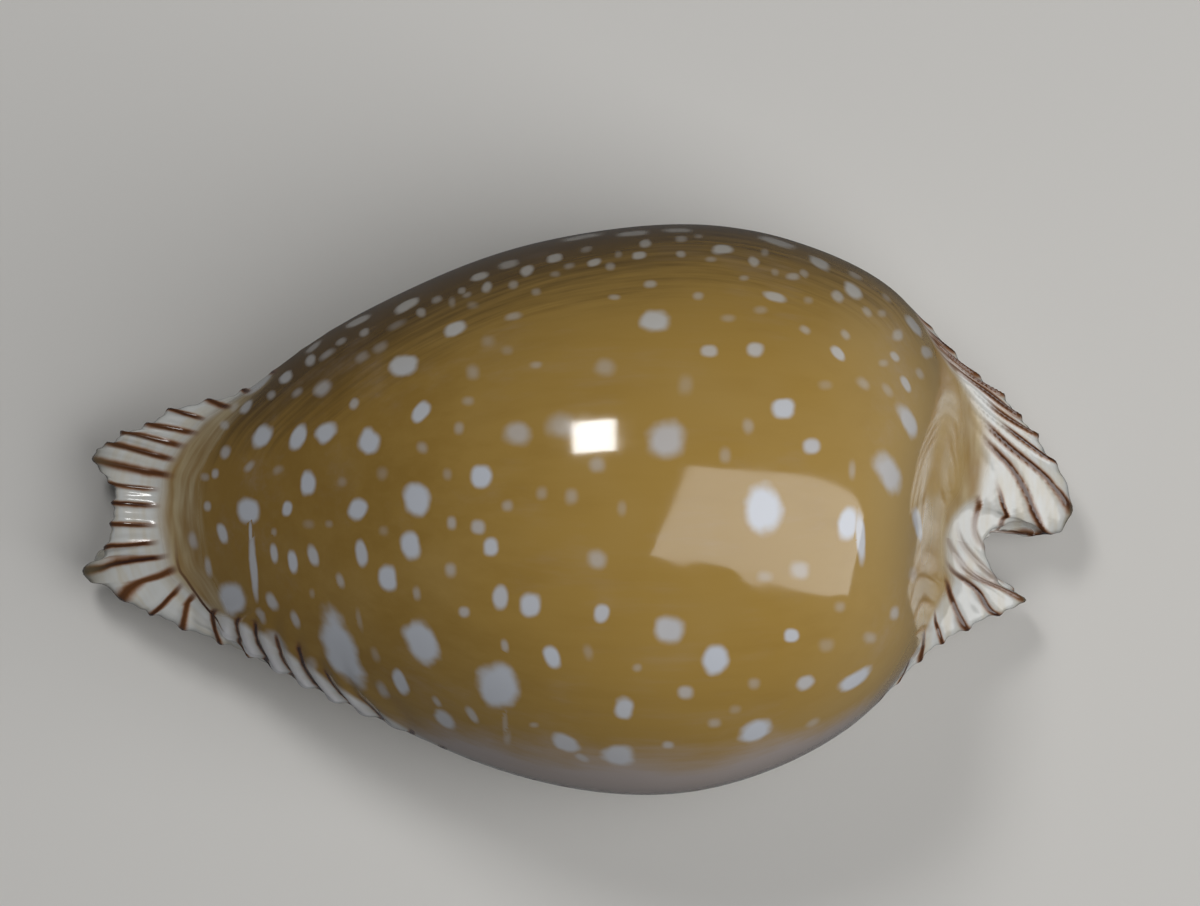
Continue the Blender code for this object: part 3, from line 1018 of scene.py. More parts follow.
class ShellPoints:
    """The shell's points with each one's tooth, level and distance down from the back's foot."""

    def __init__(self):
        teeth_fine = np.arange(TEETH * FINE_COLUMNS) / FINE_COLUMNS
        rings = ring_levels()
        grid = np.array([surface(teeth_fine, level) for level, columns in rings])
        grid = self.smoothed(grid, np.array([level for level, columns in rings]))
        steps = np.linalg.norm(np.diff(grid, axis=0), axis=2)
        path = np.vstack([np.zeros(len(teeth_fine)), np.cumsum(steps, axis=0)])
        foot_ring = SECTIONS[0][1] - 1
        path -= path[foot_ring]
        points = []
        teeth = []
        levels = []
        down = []
        self.triangles = []
        rims = []
        first = 0
        for (level, columns), row, distance in zip(rings, grid, path):
            stride = FINE_COLUMNS // columns
            points.append(row[::stride])
            teeth.append(teeth_fine[::stride])
            levels.append(np.full(TEETH * columns, level))
            down.append(distance[::stride])
            rims.append((TEETH * columns, first))
            first += TEETH * columns
        for upper, lower in zip(rims, rims[1:]):
            self.triangles += strip(upper, lower)
        summit_index = first
        roof_index = first + 1
        first_count = rims[0][0]
        last_count, last_first = rims[-1]
        for k in range(first_count):
            self.triangles.append((summit_index, k, (k + 1) % first_count))
        for k in range(last_count):
            self.triangles.append((last_first + k, roof_index, last_first + (k + 1) % last_count))
        points.append([SUMMIT, SUMMIT - (0, 0, BACK_WALL)])
        teeth.append([0, 0])
        levels.append([0, len(SECTIONS)])
        down.append([down[0].min(), down[-1].max()])
        self.points = np.vstack(points)
        self.teeth = np.concatenate(teeth)
        self.levels = np.concatenate(levels)
        self.down = np.concatenate(down)
        self.triangles = np.array(self.triangles)

    @staticmethod
    def smoothed(grid, levels):
        """Returns the grid with the joins between sections rounded off."""
        for join, reach, passes in SOFT_JOINS:
            share = np.clip(1 - np.abs(levels - join) / reach, 0, 1)[1:-1, None, None]
            for _ in range(passes):
                middle = (grid[:-2] + grid[2:]) / 2
                grid[1:-1] += (middle - grid[1:-1]) * share * 0.5
        return grid


def srgb(red, green, blue):
    """Returns the linear colour of 0 to 255 screen values, with alpha."""
    screen = np.array([red, green, blue]) / 255
    linear = np.where(screen <= 0.04045, screen / 12.92, ((screen + 0.055) / 1.055) ** 2.4)
    return (*linear.tolist(), 1.0)


def colour_property(name, description, *screen):
    """Returns a colour property with its default given in screen values."""
    return bpy.props.FloatVectorProperty(
        name=name, description=description, subtype="COLOR", size=4, min=0, max=1, default=srgb(*screen)
    )


def length_property(name, description, size):
    """Returns a length property with its default given in millimetres."""
    return bpy.props.FloatProperty(
        name=name, description=description, default=size * MM, unit="LENGTH", precision=5
    )


class CowrieSurface(bpy.types.PropertyGroup):
    """Sizes of the shell's fine surface."""

    ridge_height: length_property("Ridge height", "Height of the tooth ridges", 0.45)
    crest_width: bpy.props.FloatProperty(
        name="Crest width",
        description="Half width of a ridge's crest, as a share of the tooth spacing",
        default=0.2,
    )
    pillow: bpy.props.FloatProperty(
        name="Pillow",
        description="How far the white between two ridges bulges, as a share of their height",
        default=0.45,
    )
    bead_height: length_property("Bead height", "Height of the beads of the front's lower side", 0.4)
    swell_height: length_property("Swell height", "Height of the waves in the enamel", 0.14)
    swell_size: length_property("Swell size", "Length of the waves in the enamel", 3.0)


class CowrieColours(bpy.types.PropertyGroup):
    """Colours of the shell's markings."""

    gold: colour_property("Gold", "The back's main golden brown", 168, 135, 67)
    umber: colour_property("Umber", "The darker front of the back and its dark streaks", 150, 116, 48)
    olive: colour_property("Olive", "The dark rim of the back on the outer lip's side", 92, 68, 24)
    neck: colour_property("Neck", "The brown streaks of the necks", 150, 118, 66)
    cream: colour_property("Cream", "The pale streaks of the necks", 192, 176, 140)
    rose: colour_property("Rose", "The pale callus over the inner lip's side", 180, 168, 162)
    spot: colour_property("Spot", "The white spots", 204, 208, 216)
    enamel: colour_property("Enamel", "The white base and flanges", 208, 209, 206)
    # The bead colour is a brighter white painted on the middles of the front's lower beads: a painted
    # highlight, standing in for light falling on them.
    bead: colour_property("Bead", "The bright beads of the front's lower side", 238, 238, 242)
    rust: colour_property("Rust", "The rusty edges of the lines on the ridges", 150, 98, 50)
    line: colour_property("Line", "The dark brown lines on the ridges", 54, 24, 12)
    horn: colour_property("Horn", "The clear tips of the hooks and knobs", 122, 112, 86)


class CowrieStage(bpy.types.PropertyGroup):
    """The stage's lights and floor."""

    key_power: bpy.props.FloatProperty(
        name="Key light", description="Power of the small bright light, in watts", default=0.65
    )
    panel_power: bpy.props.FloatProperty(
        name="Panel", description="Power of the wide soft panel, in watts", default=1.85
    )
    fill: bpy.props.FloatProperty(
        name="Fill", description="Strength of the light from all round", default=0.08
    )
    sky: colour_property("Sky", "The light from all round", 236, 240, 246)
    floor: colour_property("Floor", "The plain pale floor", 214, 212, 208)


# Node trees.


def add(tree, kind, inputs=None, **settings):
    """Adds a node, sets it up, and joins or fills its inputs. Returns the node."""
    made = tree.nodes.new(kind)
    for name, value in settings.items():
        setattr(made, name, value)
    for key, value in (inputs or {}).items():
        if isinstance(value, bpy.types.NodeSocket):
            tree.links.new(value, made.inputs[key])
        else:
            made.inputs[key].default_value = value
    return made


def maths(tree, operation, *values):
    """Adds a Math node. Returns its output."""
    return add(tree, "ShaderNodeMath", dict(enumerate(values)), operation=operation).outputs[0]


def times(tree, first, *others):
    """Adds the product of two or more values. Returns its output."""
    for other in others:
        first = maths(tree, "MULTIPLY", first, other)
    return first


def ramp(tree, value, low, high, start=0.0, end=1.0):
    """Adds a smooth step from start at low to end at high. Returns its output."""
    inputs = {"Value": value, "From Min": low, "From Max": high, "To Min": start, "To Max": end}
    return add(tree, "ShaderNodeMapRange", inputs, interpolation_type="SMOOTHSTEP").outputs[0]


def blend(tree, share, first, second):
    """Adds a colour mix. Returns its output."""
    mixer = add(tree, "ShaderNodeMix", {0: share}, data_type="RGBA")
    for socket, value in ((6, first), (7, second)):
        if isinstance(value, bpy.types.NodeSocket):
            tree.links.new(value, mixer.inputs[socket])
        else:
            mixer.inputs[socket].default_value = value
    return mixer.outputs[2]


def attribute(tree, name):
    """Adds an Attribute node. Returns the node."""
    return add(tree, "ShaderNodeAttribute", attribute_name=name)


def noise(tree, vector, scale, detail=2.0, roughness=0.5):
    """Adds a Noise Texture. Returns its value, 0 to 1."""
    inputs = {"Vector": vector, "Scale": scale, "Detail": detail, "Roughness": roughness}
    return add(tree, "ShaderNodeTexNoise", inputs).outputs["Fac"]


def new_group(name, kind, inputs, outputs):
    """Starts a node group with named sockets. Returns the tree, its input node and its output node."""
    tree = bpy.data.node_groups.new(name, kind)
    for label, socket, value in inputs:
        made = tree.interface.new_socket(label, in_out="INPUT", socket_type=socket)
        if value is not None:
            made.default_value = value
    for label, socket in outputs:
        tree.interface.new_socket(label, in_out="OUTPUT", socket_type=socket)
    return tree, tree.nodes.new("NodeGroupInput"), tree.nodes.new("NodeGroupOutput")


def ridge_tree():
    """Returns the Geometry Nodes tree that raises the tooth ridges and the enamel's gentle waves."""
    tree, start, end = new_group(
        "tooth_ridges",
        "GeometryNodeTree",
        [
            ("Geometry", "NodeSocketGeometry", None),
            ("Ridge Height", "NodeSocketFloat", 0.0),
            ("Crest Width", "NodeSocketFloat", 0.17),
            ("Pillow", "NodeSocketFloat", 0.5),
            ("Bead Height", "NodeSocketFloat", 0.0),
            ("Swell Height", "NodeSocketFloat", 0.0),
            ("Swell Size", "NodeSocketFloat", 0.005),
            ("Outside", "NodeSocketMaterial", None),
            ("Hollow", "NodeSocketMaterial", None),
        ],
        [("Geometry", "NodeSocketGeometry")],
    )

    def named(name):
        made = add(tree, "GeometryNodeInputNamedAttribute", {"Name": name}, data_type="FLOAT")
        return made.outputs[0]

    given = start.outputs
    crest_distance = maths(tree, "PINGPONG", named("ridge_phase"), 0.5)
    spread = maths(tree, "DIVIDE", crest_distance, given["Crest Width"])
    crest = maths(tree, "EXPONENT", times(tree, spread, spread, -1.0))
    pillow = times(tree, ramp(tree, crest_distance, 0.1, 0.5), given["Pillow"], named("end_share"))
    sunk = maths(tree, "SUBTRACT", maths(tree, "SUBTRACT", 1.0, crest), pillow)
    depth = times(tree, sunk, named("ridge_share"), given["Ridge Height"])
    place = add(tree, "GeometryNodeInputPosition").outputs[0]
    scale = maths(tree, "DIVIDE", 1.0, given["Swell Size"])
    waves = maths(tree, "SUBTRACT", noise(tree, place, scale, 1.0), 1.0)
    swell = times(tree, waves, given["Swell Height"], named("swell_share"))
    swollen = ramp(tree, crest_distance, 0.0, BEAD_REACH)
    beads = times(tree, swollen, named("bead"), given["Bead Height"])
    rise = maths(tree, "SUBTRACT", maths(tree, "ADD", swell, beads), depth)
    normal = add(tree, "GeometryNodeInputNormal").outputs[0]
    offset = add(tree, "ShaderNodeVectorMath", {0: normal, "Scale": rise}, operation="SCALE").outputs[0]
    moved = add(tree, "GeometryNodeSetPosition", {"Geometry": given["Geometry"], "Offset": offset})
    real = add(tree, "GeometryNodeRealizeInstances", {"Geometry": moved.outputs[0]}).outputs[0]
    outer = add(tree, "GeometryNodeSetMaterial", {"Geometry": real, "Material": given["Outside"]})
    inside = maths(tree, "GREATER_THAN", named("level"), HOLLOW_LEVEL)
    inner_inputs = {"Geometry": outer.outputs[0], "Selection": inside, "Material": given["Hollow"]}
    inner = add(tree, "GeometryNodeSetMaterial", inner_inputs)
    tree.links.new(inner.outputs[0], end.inputs[0])
    return tree


def scaled(tree, vector, *shares):
    """Adds a vector stretched by a share along each axis. Returns its output."""
    return add(tree, "ShaderNodeVectorMath", {0: vector, 1: shares}, operation="MULTIPLY").outputs[0]


def shifted(tree, value, wave, reach):
    """Adds a value moved to and fro by a wave of 0 to 1. Returns its output."""
    return maths(tree, "ADD", value, times(tree, maths(tree, "SUBTRACT", wave, 0.5), reach))


def growth_grain_group():
    """Returns the group that gives the shell's fine growth lines and the wear of its polish."""
    tree, start, end = new_group(
        "growth_grain",
        "ShaderNodeTree",
        [
            ("Place", "NodeSocketVector", None),
            ("Dull", "NodeSocketFloat", 0.08),
            ("Wear", "NodeSocketFloat", 0.05),
        ],
        [("Line", "NodeSocketFloat"), ("Roughness", "NodeSocketFloat"), ("Height", "NodeSocketFloat")],
    )
    place = start.outputs["Place"]
    line = noise(tree, scaled(tree, place, *GROWTH_LINES), 1.0, 3.0, 0.6)
    patch = noise(tree, place, WORN_PATCHES, 4.0, 0.65)
    pore = noise(tree, place, PORES, 2.0)
    wear = times(tree, ramp(tree, patch, 0.4, 0.75), start.outputs["Wear"])
    rough = maths(tree, "ADD", wear, start.outputs["Dull"])
    height = maths(tree, "ADD", times(tree, line, 0.6), times(tree, pore, 0.4))
    tree.links.new(line, end.inputs["Line"])
    tree.links.new(rough, end.inputs["Roughness"])
    tree.links.new(height, end.inputs["Height"])
    return tree


def golden_ground_group(colours):
    """Returns the group that gives the back's streaked golden brown and its dark rim."""
    tree, start, end = new_group(
        "golden_ground",
        "ShaderNodeTree",
        [
            ("Place", "NodeSocketVector", None),
            ("Rim", "NodeSocketFloat", 0.0),
            ("Down", "NodeSocketFloat", 0.0),
        ],
        [("Color", "NodeSocketColor")],
    )
    place = start.outputs["Place"]
    along = add(tree, "ShaderNodeSeparateXYZ", {0: place}).outputs["X"]
    fine = noise(tree, scaled(tree, place, *FINE_STREAKS), 1.0, 3.0, 0.6)
    broad = noise(tree, scaled(tree, place, *BROAD_STREAKS), 1.0, 2.0, 0.5)
    cloud = noise(tree, place, CLOUDS, 2.0)
    streak = maths(tree, "ADD", times(tree, fine, 0.45), times(tree, broad, 0.55))
    shade = shifted(tree, ramp(tree, along, -0.026, 0.004), cloud, 0.7)
    shade = shifted(tree, shade, ramp(tree, streak, 0.3, 0.7), 0.45)
    colour = blend(tree, ramp(tree, shade, -0.1, 1.1), colours.umber, colours.gold)
    pale = shifted(tree, ramp(tree, along, 0.008, 0.024, 0.0, 0.25), cloud, 0.3)
    colour = blend(tree, maths(tree, "MAXIMUM", pale, 0.0), colour, colours.cream)
    band_place = {0: times(tree, along, RIM_BANDS), 1: start.outputs["Down"]}
    band = noise(tree, add(tree, "ShaderNodeCombineXYZ", band_place).outputs[0], 1.6, 3.0, 0.6)
    rim = shifted(tree, start.outputs["Rim"], band, 0.9)
    rim = times(tree, rim, ramp(tree, start.outputs["Rim"], 0.0, 0.3))
    colour = blend(tree, ramp(tree, rim, 0.05, 1.0), colour, colours.olive)
    tree.links.new(colour, end.inputs["Color"])
    return tree


def spot_mask(tree, place, wobble):
    """Adds the white spots' mask, ragged at the edge and boxier than an oval. Returns its output."""
    ripple = add(tree, "ShaderNodeTexNoise", {"Vector": place, "Scale": SPOT_RIPPLES, "Detail": 2.0})
    centred = {0: ripple.outputs["Color"], 1: (0.5, 0.5, 0.5)}
    ripple = add(tree, "ShaderNodeVectorMath", centred, operation="SUBTRACT").outputs[0]
    spot_place = attribute(tree, "spot_place").outputs["Vector"]
    moved = add(tree, "ShaderNodeVectorMath", {0: spot_place, 1: scaled(tree, ripple, 0.75, 0.75, 0)})
    parts = add(tree, "ShaderNodeSeparateXYZ", {0: moved.outputs[0]}).outputs
    powers = [maths(tree, "POWER", maths(tree, "ABSOLUTE", part), SPOT_BOXINESS) for part in parts]
    total = maths(tree, "ADD", maths(tree, "ADD", powers[0], powers[1]), powers[2])
    reach = maths(tree, "POWER", total, 1 / SPOT_BOXINESS)
    strength = attribute(tree, "spot_strength").outputs["Fac"]
    outer = ramp(tree, strength, 0.2, 1.0, 1.4, 1.24)
    inner = ramp(tree, strength, 0.2, 1.0, 0.2, 0.62)
    ragged = shifted(tree, reach, wobble, 0.3)
    return times(tree, ramp(tree, ragged, outer, inner), strength)


def tooth_line_masks(tree, wobble):
    """Adds the masks of the brown lines, each of its own width and length. Returns rim and core."""
    phase = shifted(tree, attribute(tree, "line_phase").outputs["Fac"], wobble, 0.16)
    tooth = maths(tree, "ROUND", phase)
    chance = add(tree, "ShaderNodeTexWhiteNoise", {"W": tooth}, noise_dimensions="1D").outputs
    split = add(tree, "ShaderNodeSeparateColor", {0: chance["Color"]}).outputs
    pitch = maths(tree, "MINIMUM", attribute(tree, "line_pitch").outputs["Fac"], WIDEST_PITCH)
    aside = times(tree, maths(tree, "PINGPONG", phase, 0.5), pitch)
    start = shifted(tree, attribute(tree, "line_start").outputs["Fac"], split[0], 1.4)
    start = ramp(tree, shifted(tree, start, wobble, 0.8), -0.6, 0.8)
    share = times(tree, start, attribute(tree, "line_share").outputs["Fac"])
    depth = times(tree, share, ramp(tree, split[1], 0.0, 1.0, 0.7, 1.0))
    rim = ramp(tree, aside, ramp(tree, chance["Value"], 0.0, 1.0, *RIM_WIDTHS), RIM_FULL)
    core = ramp(tree, aside, ramp(tree, chance["Value"], 0.0, 1.0, *CORE_WIDTHS), CORE_FULL)
    return times(tree, rim, share), times(tree, core, depth)


def bead_and_painted_light_mask(tree):
    """Adds the mask of the white beads between the lines of the front's lower side, fullest in each
    bead's middle, where it also paints light on them. Returns it.
    """
    phase = attribute(tree, "line_phase").outputs["Fac"]
    swollen = ramp(tree, maths(tree, "PINGPONG", phase, 0.5), 0.0, BEAD_REACH)
    return times(tree, swollen, attribute(tree, "bead").outputs["Fac"])


def outside_material(colours, grain_tree):
    """Returns the glossy outside: golden back, white spots, pale callus, white enamel, brown lines."""
    material = bpy.data.materials.new("shell_outside")
    material.use_nodes = True
    tree = material.node_tree
    shader = tree.nodes["Principled BSDF"]
    place = add(tree, "ShaderNodeTexCoord").outputs["Object"]
    wobble = noise(tree, place, FINE_WOBBLE, 3.0)
    wobble_broad = noise(tree, place, BROAD_WOBBLE, 2.0)
    down = attribute(tree, "down").outputs["Fac"]
    grain = add(tree, "ShaderNodeGroup", {}, node_tree=grain_tree)
    tree.links.new(place, grain.inputs["Place"])

    ground = add(tree, "ShaderNodeGroup", {}, node_tree=golden_ground_group(colours))
    tree.links.new(place, ground.inputs["Place"])
    tree.links.new(down, ground.inputs["Down"])
    tree.links.new(attribute(tree, "rim").outputs["Fac"], ground.inputs["Rim"])
    colour = ground.outputs["Color"]

    # The necks' streaks follow the back's foot at the front and run straight across at the rear.
    parts = add(tree, "ShaderNodeSeparateXYZ", {0: place}).outputs
    lengthwise = times(tree, parts["X"], 1 / MM)
    apart = maths(tree, "SUBTRACT", lengthwise, down)
    streak_place = maths(tree, "ADD", down, times(tree, apart, ramp(tree, lengthwise, -5.0, 5.0)))
    band_place = {0: times(tree, parts["Y"], NECK_BANDS), 1: streak_place}
    band = noise(tree, add(tree, "ShaderNodeCombineXYZ", band_place).outputs[0], 1.1, 2.0, 0.55)
    streaks = blend(tree, ramp(tree, band, 0.25, 0.75), colours.neck, colours.cream)
    neck_share = attribute(tree, "neck").outputs["Fac"]
    neck = shifted(tree, shifted(tree, neck_share, wobble_broad, 0.8), band, 0.6)
    neck = times(tree, ramp(tree, neck, 0.0, 1.1, 0.0, 0.9), ramp(tree, neck_share, 0.0, 0.4))
    colour = blend(tree, neck, colour, streaks)

    callus = shifted(tree, attribute(tree, "callus").outputs["Fac"], wobble_broad, 0.8)
    callus = shifted(tree, callus, grain.outputs["Line"], 0.4)
    colour = blend(tree, ramp(tree, callus, 0.0, 1.0), colour, colours.rose)
    creamy = ramp(tree, parts["Y"], 0.002, 0.014, 0.0, 0.45)
    spot_colour = blend(tree, creamy, colours.spot, colours.cream)
    colour = blend(tree, spot_mask(tree, place, wobble), colour, spot_colour)

    beads = bead_and_painted_light_mask(tree)
    enamel = shifted(tree, attribute(tree, "enamel").outputs["Fac"], wobble_broad, 1.6)
    enamel = maths(tree, "ADD", enamel, times(tree, beads, 1.8))
    enamel_colour = blend(tree, ramp(tree, band, 0.3, 0.6, 0.4, 0.0), colours.enamel, colours.cream)
    # Painted light: the middles of the beads are painted a brighter white, as if lit.
    enamel_colour = blend(tree, beads, enamel_colour, colours.bead)
    colour = blend(tree, ramp(tree, enamel, -0.7, 0.8), colour, enamel_colour)
    line_rim, line_core = tooth_line_masks(tree, wobble)
    edge = maths(tree, "ABSOLUTE", shifted(tree, down, wobble, 0.3))
    edge = times(tree, ramp(tree, edge, 0.2, 0.05), attribute(tree, "edge").outputs["Fac"])
    colour = blend(tree, maths(tree, "MAXIMUM", line_rim, edge), colour, colours.rust)
    colour = blend(tree, maths(tree, "MAXIMUM", line_core, edge), colour, colours.line)
    colour = blend(tree, attribute(tree, "tip").outputs["Fac"], colour, colours.horn)

    tree.links.new(colour, shader.inputs["Base Color"])
    dull = times(tree, neck_share, ramp(tree, enamel, 0.8, -0.7, 0.1, 0.34))
    tree.links.new(maths(tree, "ADD", grain.outputs["Roughness"], dull), shader.inputs["Roughness"])
    bump_inputs = {"Strength": 0.25, "Distance": 0.004 * MM, "Height": grain.outputs["Height"]}
    tree.links.new(add(tree, "ShaderNodeBump", bump_inputs).outputs[0], shader.inputs["Normal"])
    shader.inputs["IOR"].default_value = SHELL_IOR
    return material


def hollow_material(colours, grain_tree):
    """Returns the smooth pale inside of the hollow."""
    material = bpy.data.materials.new("shell_hollow")
    material.use_nodes = True
    tree = material.node_tree
    shader = tree.nodes["Principled BSDF"]
    place = add(tree, "ShaderNodeTexCoord").outputs["Object"]
    grain = add(tree, "ShaderNodeGroup", {"Dull": 0.25, "Wear": 0.15}, node_tree=grain_tree)
    tree.links.new(place, grain.inputs["Place"])
    cloud = shifted(tree, noise(tree, place, HOLLOW_CLOUDS, 3.0), grain.outputs["Line"], 0.5)
    tree.links.new(blend(tree, cloud, colours.enamel, colours.rose), shader.inputs["Base Color"])
    tree.links.new(grain.outputs["Roughness"], shader.inputs["Roughness"])
    bump_inputs = {"Strength": 0.4, "Distance": 0.01 * MM, "Height": grain.outputs["Height"]}
    tree.links.new(add(tree, "ShaderNodeBump", bump_inputs).outputs[0], shader.inputs["Normal"])
    return material


# The shell's markings, stored on its mesh.


def pixel_ray(x, y):
    """Returns the direction from the camera through a pixel of the photograph."""
    pixel = SENSOR / PHOTO_WIDTH
    return Vector(((x - PHOTO_CENTRE[0]) * pixel, (PHOTO_CENTRE[1] - y) * pixel, -LENS)).normalized()


def spot_frames(tree):
    """Returns each spot's centre and the three axes that measure distance in spot radii."""
    centres = []
    frames = []
    for x, y, long, short, turn, _ in SPOTS:
        hit, normal, _, _ = tree.ray_cast(Vector(CAMERA_PLACE), pixel_ray(x, y))
        if hit is None:
            raise RuntimeError(f"the spot at pixel {x}, {y} misses the shell")
        normal = np.array(normal)
        east = np.array([1, 0, 0]) - normal * normal[0]
        north = np.array([0, 1, 0]) - normal * normal[1]
        angle = np.radians(turn)
        size = MM_PER_PIXEL * (CAMERA_PLACE[2] - hit.z) / (CAMERA_PLACE[2] - SCALE_HEIGHT)
        frames.append(
            [
                (east * np.cos(angle) + north * np.sin(angle)) / (long * size),
                (north * np.cos(angle) - east * np.sin(angle)) / (short * size),
                normal / (2 * long * size),
            ]
        )
        centres.append(np.array(hit))
    return np.array(centres), np.array(frames)


def mark_spots(shell):
    """Returns each triangle corner's place in its nearest spot, in spot radii, and that strength."""
    tree = BVHTree.FromPolygons(shell.points.tolist(), shell.triangles.tolist())
    centres, frames = spot_frames(tree)
    strengths = np.array([row[-1] for row in SPOTS])
    corners = shell.points[shell.triangles]
    middles = corners.mean(axis=1)
    outer = np.nonzero(shell.levels[shell.triangles].max(axis=1) < SPOTTED_LEVEL)[0]
    places = np.full(corners.shape, CLEAR_OF_SPOTS)
    strength = np.zeros(corners.shape[:2])
    for part in np.array_split(outer, SPOT_BATCHES):
        away = middles[part, None] - centres
        reach = np.linalg.norm(np.einsum("sij,fsj->fsi", frames, away), axis=2)
        nearest = reach.argmin(axis=1)
        offsets = corners[part] - centres[nearest, None]
        places[part] = np.einsum("fij,fkj->fki", frames[nearest], offsets)
        strength[part] = strengths[nearest, None]
    return places, strength


def add_attribute(mesh, name, kind, domain, values):
    """Stores values on a mesh."""
    made = mesh.attributes.new(name, kind, domain)
    field = "vector" if kind == "FLOAT_VECTOR" else "value"
    made.data.foreach_set(field, np.ascontiguousarray(values).ravel())


def line_pitch(shell, phase):
    """Returns the distance square across from one tooth line to the next at each point."""
    corners = shell.points[shell.triangles]
    first = corners[:, 1] - corners[:, 0]
    second = corners[:, 2] - corners[:, 0]
    rise_first = (phase[:, 1] - phase[:, 0])[:, None]
    rise_second = (phase[:, 2] - phase[:, 0])[:, None]
    normal = np.cross(first, second)
    area = np.maximum((normal**2).sum(axis=1), 1e-12)[:, None]
    slope = np.cross(rise_first * second - rise_second * first, normal) / area
    steepness = np.minimum(np.linalg.norm(slope, axis=1), STEEPEST_LINES)
    total = np.zeros(len(shell.points))
    count = np.zeros(len(shell.points))
    for corner in range(3):
        np.add.at(total, shell.triangles[:, corner], steepness)
        np.add.at(count, shell.triangles[:, corner], 1)
    return count / np.maximum(total, 1e-6)


def hump(points, place, reach):
    """Returns a soft hump over the points, 1 at place and fading with distance."""
    return np.exp(-(((points - place) / reach) ** 2).sum(axis=1))


def shell_mesh():
    """Returns the shell's smooth mesh with the attributes that its ridges and markings follow."""
    shell = ShellPoints()
    mesh = bpy.data.meshes.new("shell_surface")
    mesh.from_pydata((shell.points * MM).tolist(), [], shell.triangles.tolist())
    teeth = shell.teeth
    levels = shell.levels
    down = shell.down
    ends = np.clip(end_share(teeth)[:, 0], 0, 1)
    across = np.clip(levels - 1, 0, 1)
    beaded = straight(BEAD_SHARE)(teeth)
    climb = np.clip(-down, 0, BEAD_TOP)
    swing = straight(RIDGE_SWING)(teeth) * (1 - across) ** SWING_POWER - BEAD_LEAN * beaded * climb
    ridged = mix(np.interp(levels, *RIDGED_SIDES), np.interp(levels, *RIDGED_ENDS), ends)
    lined = straight(LINE_SHARE)(teeth)
    swell = mix(SWELL_ELSEWHERE, 1, hump(shell.points[:, :2], SWELL_PLACE, SWELL_REACH))

    def store(name, values):
        add_attribute(mesh, name, "FLOAT", "POINT", values)

    def below(stations):
        return down - straight(stations)(teeth)

    store("level", levels)
    store("down", down)
    store("ridge_phase", teeth - swing)
    store("ridge_share", ridged * lined)
    store("end_share", ends * np.interp(levels, *PILLOWED))
    store("swell_share", swell * np.interp(levels, *SWOLLEN))
    store("line_start", np.clip(below(LINE_START), -START_REACH, START_REACH))
    store("line_share", lined * np.interp(levels, *LINED))
    store("edge", straight(EDGE_SHARE)(teeth))
    store("bead", beaded * (1 - climb / BEAD_TOP) * np.interp(levels, *BEADED))
    store("enamel", np.clip(below(ENAMEL_START), -START_REACH, START_REACH))
    store("neck", np.clip(below(NECK_START) / NECK_FADE, 0, 1) * straight(NECK_SHARE)(teeth))
    store("callus", np.clip(below(CALLUS_START) / CALLUS_FADE, 0, 1) * straight(CALLUS_SHARE)(teeth))
    store("rim", np.interp(down, RIM_FADE, [0, 1]) * straight(RIM_SHARE)(teeth))
    store("tip", np.max([hump(shell.points, place, reach) for *place, reach in CLEAR_TIPS], axis=0))

    # The triangles that close the ring run on past the last tooth.
    corner_teeth = teeth[shell.triangles]
    closing = corner_teeth.max(axis=1) - corner_teeth.min(axis=1) > TEETH / 2
    early = closing[:, None] & (corner_teeth < TEETH / 2)
    phase = np.where(early, corner_teeth + TEETH, corner_teeth) - swing[shell.triangles]
    add_attribute(mesh, "line_phase", "FLOAT", "CORNER", phase)
    store("line_pitch", line_pitch(shell, phase))
    places, strength = mark_spots(shell)
    add_attribute(mesh, "spot_place", "FLOAT_VECTOR", "CORNER", places)
    add_attribute(mesh, "spot_strength", "FLOAT", "CORNER", strength)
    mesh.shade_smooth()
    return mesh


def set_input(modifier, label, value):
    """Sets a modifier's input by its socket's identifier."""
    for item in modifier.node_group.interface.items_tree:
        if item.item_type == "SOCKET" and item.in_out == "INPUT" and item.name == label:
            modifier[item.identifier] = value
            return
    raise RuntimeError(f"the tree has no input named {label}")


class COWRIE_OT_shell(bpy.types.Operator):
    """Builds the shell's fine surface with its ridges, markings and gloss"""

    bl_idname = "cowrie.shell"
    bl_label = "Build the shell"

    def execute(self, context):
        sizes = context.scene.cowrie_surface
        colours = context.scene.cowrie_colours
        smooth = bpy.data.objects.new("shell_surface_smooth", shell_mesh())
        context.scene.collection.objects.link(smooth)
        modifier = smooth.modifiers.new("tooth_ridges", "NODES")
        modifier.node_group = ridge_tree()
        for name in sizes.__annotations__:
            set_input(modifier, name.replace("_", " ").title(), getattr(sizes, name))
        grain_tree = growth_grain_group()
        set_input(modifier, "Outside", outside_material(colours, grain_tree))
        set_input(modifier, "Hollow", hollow_material(colours, grain_tree))
        depsgraph = context.evaluated_depsgraph_get()
        mesh = bpy.data.meshes.new_from_object(smooth.evaluated_get(depsgraph))
        bpy.data.objects.remove(smooth)
        mesh.name = "shell_surface"
        shell = bpy.data.objects.new("shell_surface", mesh)
        context.scene.collection.objects.link(shell)
        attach(shell, "root")
        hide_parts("shell")
        return {"FINISHED"}


def area_light(context, name, power, place, facing, side, size):
    """Adds a rectangular light with its back towards facing and its first size along side."""
    light = bpy.data.lights.new(name, "AREA")
    light.shape = "RECTANGLE"
    light.size = size[0] * MM
    light.size_y = size[1] * MM
    light.energy = power
    thing = bpy.data.objects.new(name, light)
    context.scene.collection.objects.link(thing)
    back = Vector(facing).normalized()
    along = Vector(side)
    along = (along - back * along.dot(back)).normalized()
    thing.location = Vector(place) * MM
    thing.rotation_euler = Matrix((along, back.cross(along), back)).transposed().to_euler()


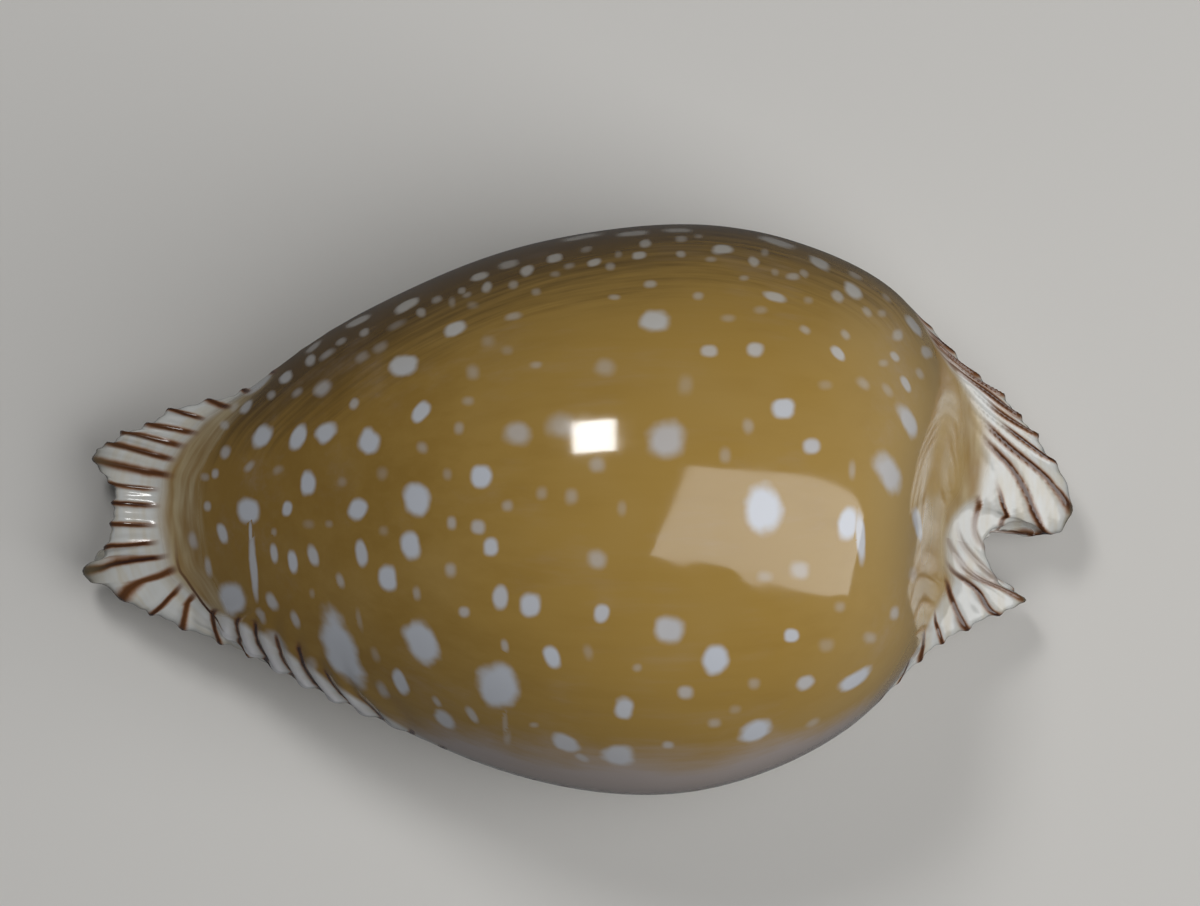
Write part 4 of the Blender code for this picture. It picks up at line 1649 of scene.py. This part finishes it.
class COWRIE_OT_stage(bpy.types.Operator):
    """Adds the floor, the lights and the camera"""

    bl_idname = "cowrie.stage"
    bl_label = "Build the stage"

    def execute(self, context):
        stage = context.scene.cowrie_stage
        scene = context.scene
        mesh = bpy.data.meshes.new("floor")
        signs = ((-1, -1), (1, -1), (1, 1), (-1, 1))
        corners = [(x * FLOOR_REACH, y * FLOOR_REACH, 0) for x, y in signs]
        mesh.from_pydata(corners, [], [(0, 1, 2, 3)])
        floor_piece = bpy.data.objects.new("floor", mesh)
        scene.collection.objects.link(floor_piece)
        material = bpy.data.materials.new("floor")
        material.use_nodes = True
        shader = material.node_tree.nodes["Principled BSDF"]
        shader.inputs["Base Color"].default_value = stage.floor
        shader.inputs["Roughness"].default_value = FLOOR_ROUGHNESS
        mesh.materials.append(material)
        floor_piece.visible_glossy = False  # it lights the shell but isn't mirrored in its gloss

        area_light(context, "key", stage.key_power, *KEY_LIGHT)
        area_light(context, "panel", stage.panel_power, *PANEL_LIGHT)

        world = bpy.data.worlds.new("studio")
        scene.world = world
        world.use_nodes = True
        sky = world.node_tree.nodes["Background"]
        sky.inputs["Color"].default_value = stage.sky
        sky.inputs["Strength"].default_value = stage.fill

        camera = bpy.data.objects.new("camera", bpy.data.cameras.new("camera"))
        scene.collection.objects.link(camera)
        camera.data.sensor_width = SENSOR
        camera.data.lens = LENS
        camera.data.clip_start = NEAREST_SEEN
        camera.location = Vector(CAMERA_PLACE) * MM
        scene.camera = camera
        scene.view_settings.view_transform = "Standard"
        return {"FINISHED"}


class COWRIE_PT_sidebar(bpy.types.Panel):
    """The shell's sizes, colours and stage"""

    bl_idname = "COWRIE_PT_sidebar"
    bl_label = "Cowrie"
    bl_space_type = "VIEW_3D"
    bl_region_type = "UI"
    bl_category = "Cowrie"

    def draw(self, context):
        scene = context.scene
        for group in (scene.cowrie_surface, scene.cowrie_colours, scene.cowrie_stage):
            box = self.layout.box()
            for name in group.__annotations__:
                box.prop(group, name)
        self.layout.operator(COWRIE_OT_shell.bl_idname)
        self.layout.operator(COWRIE_OT_stage.bl_idname)


CLASSES = (
    CowrieSurface,
    CowrieColours,
    CowrieStage,
    COWRIE_OT_shell,
    COWRIE_OT_stage,
    COWRIE_PT_sidebar,
)


def register():
    """Registers the classes and gives the scene its settings."""
    for item in CLASSES:
        bpy.utils.register_class(item)
    bpy.types.Scene.cowrie_surface = bpy.props.PointerProperty(type=CowrieSurface)
    bpy.types.Scene.cowrie_colours = bpy.props.PointerProperty(type=CowrieColours)
    bpy.types.Scene.cowrie_stage = bpy.props.PointerProperty(type=CowrieStage)


def unregister():
    """Removes the settings and the classes."""
    del bpy.types.Scene.cowrie_stage
    del bpy.types.Scene.cowrie_colours
    del bpy.types.Scene.cowrie_surface
    for item in reversed(CLASSES):
        bpy.utils.unregister_class(item)


def main():
    """Builds the shell and its stage."""
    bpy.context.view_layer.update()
    register()
    bpy.ops.cowrie.shell()
    bpy.ops.cowrie.stage()


if __name__ == "__main__":
    main()
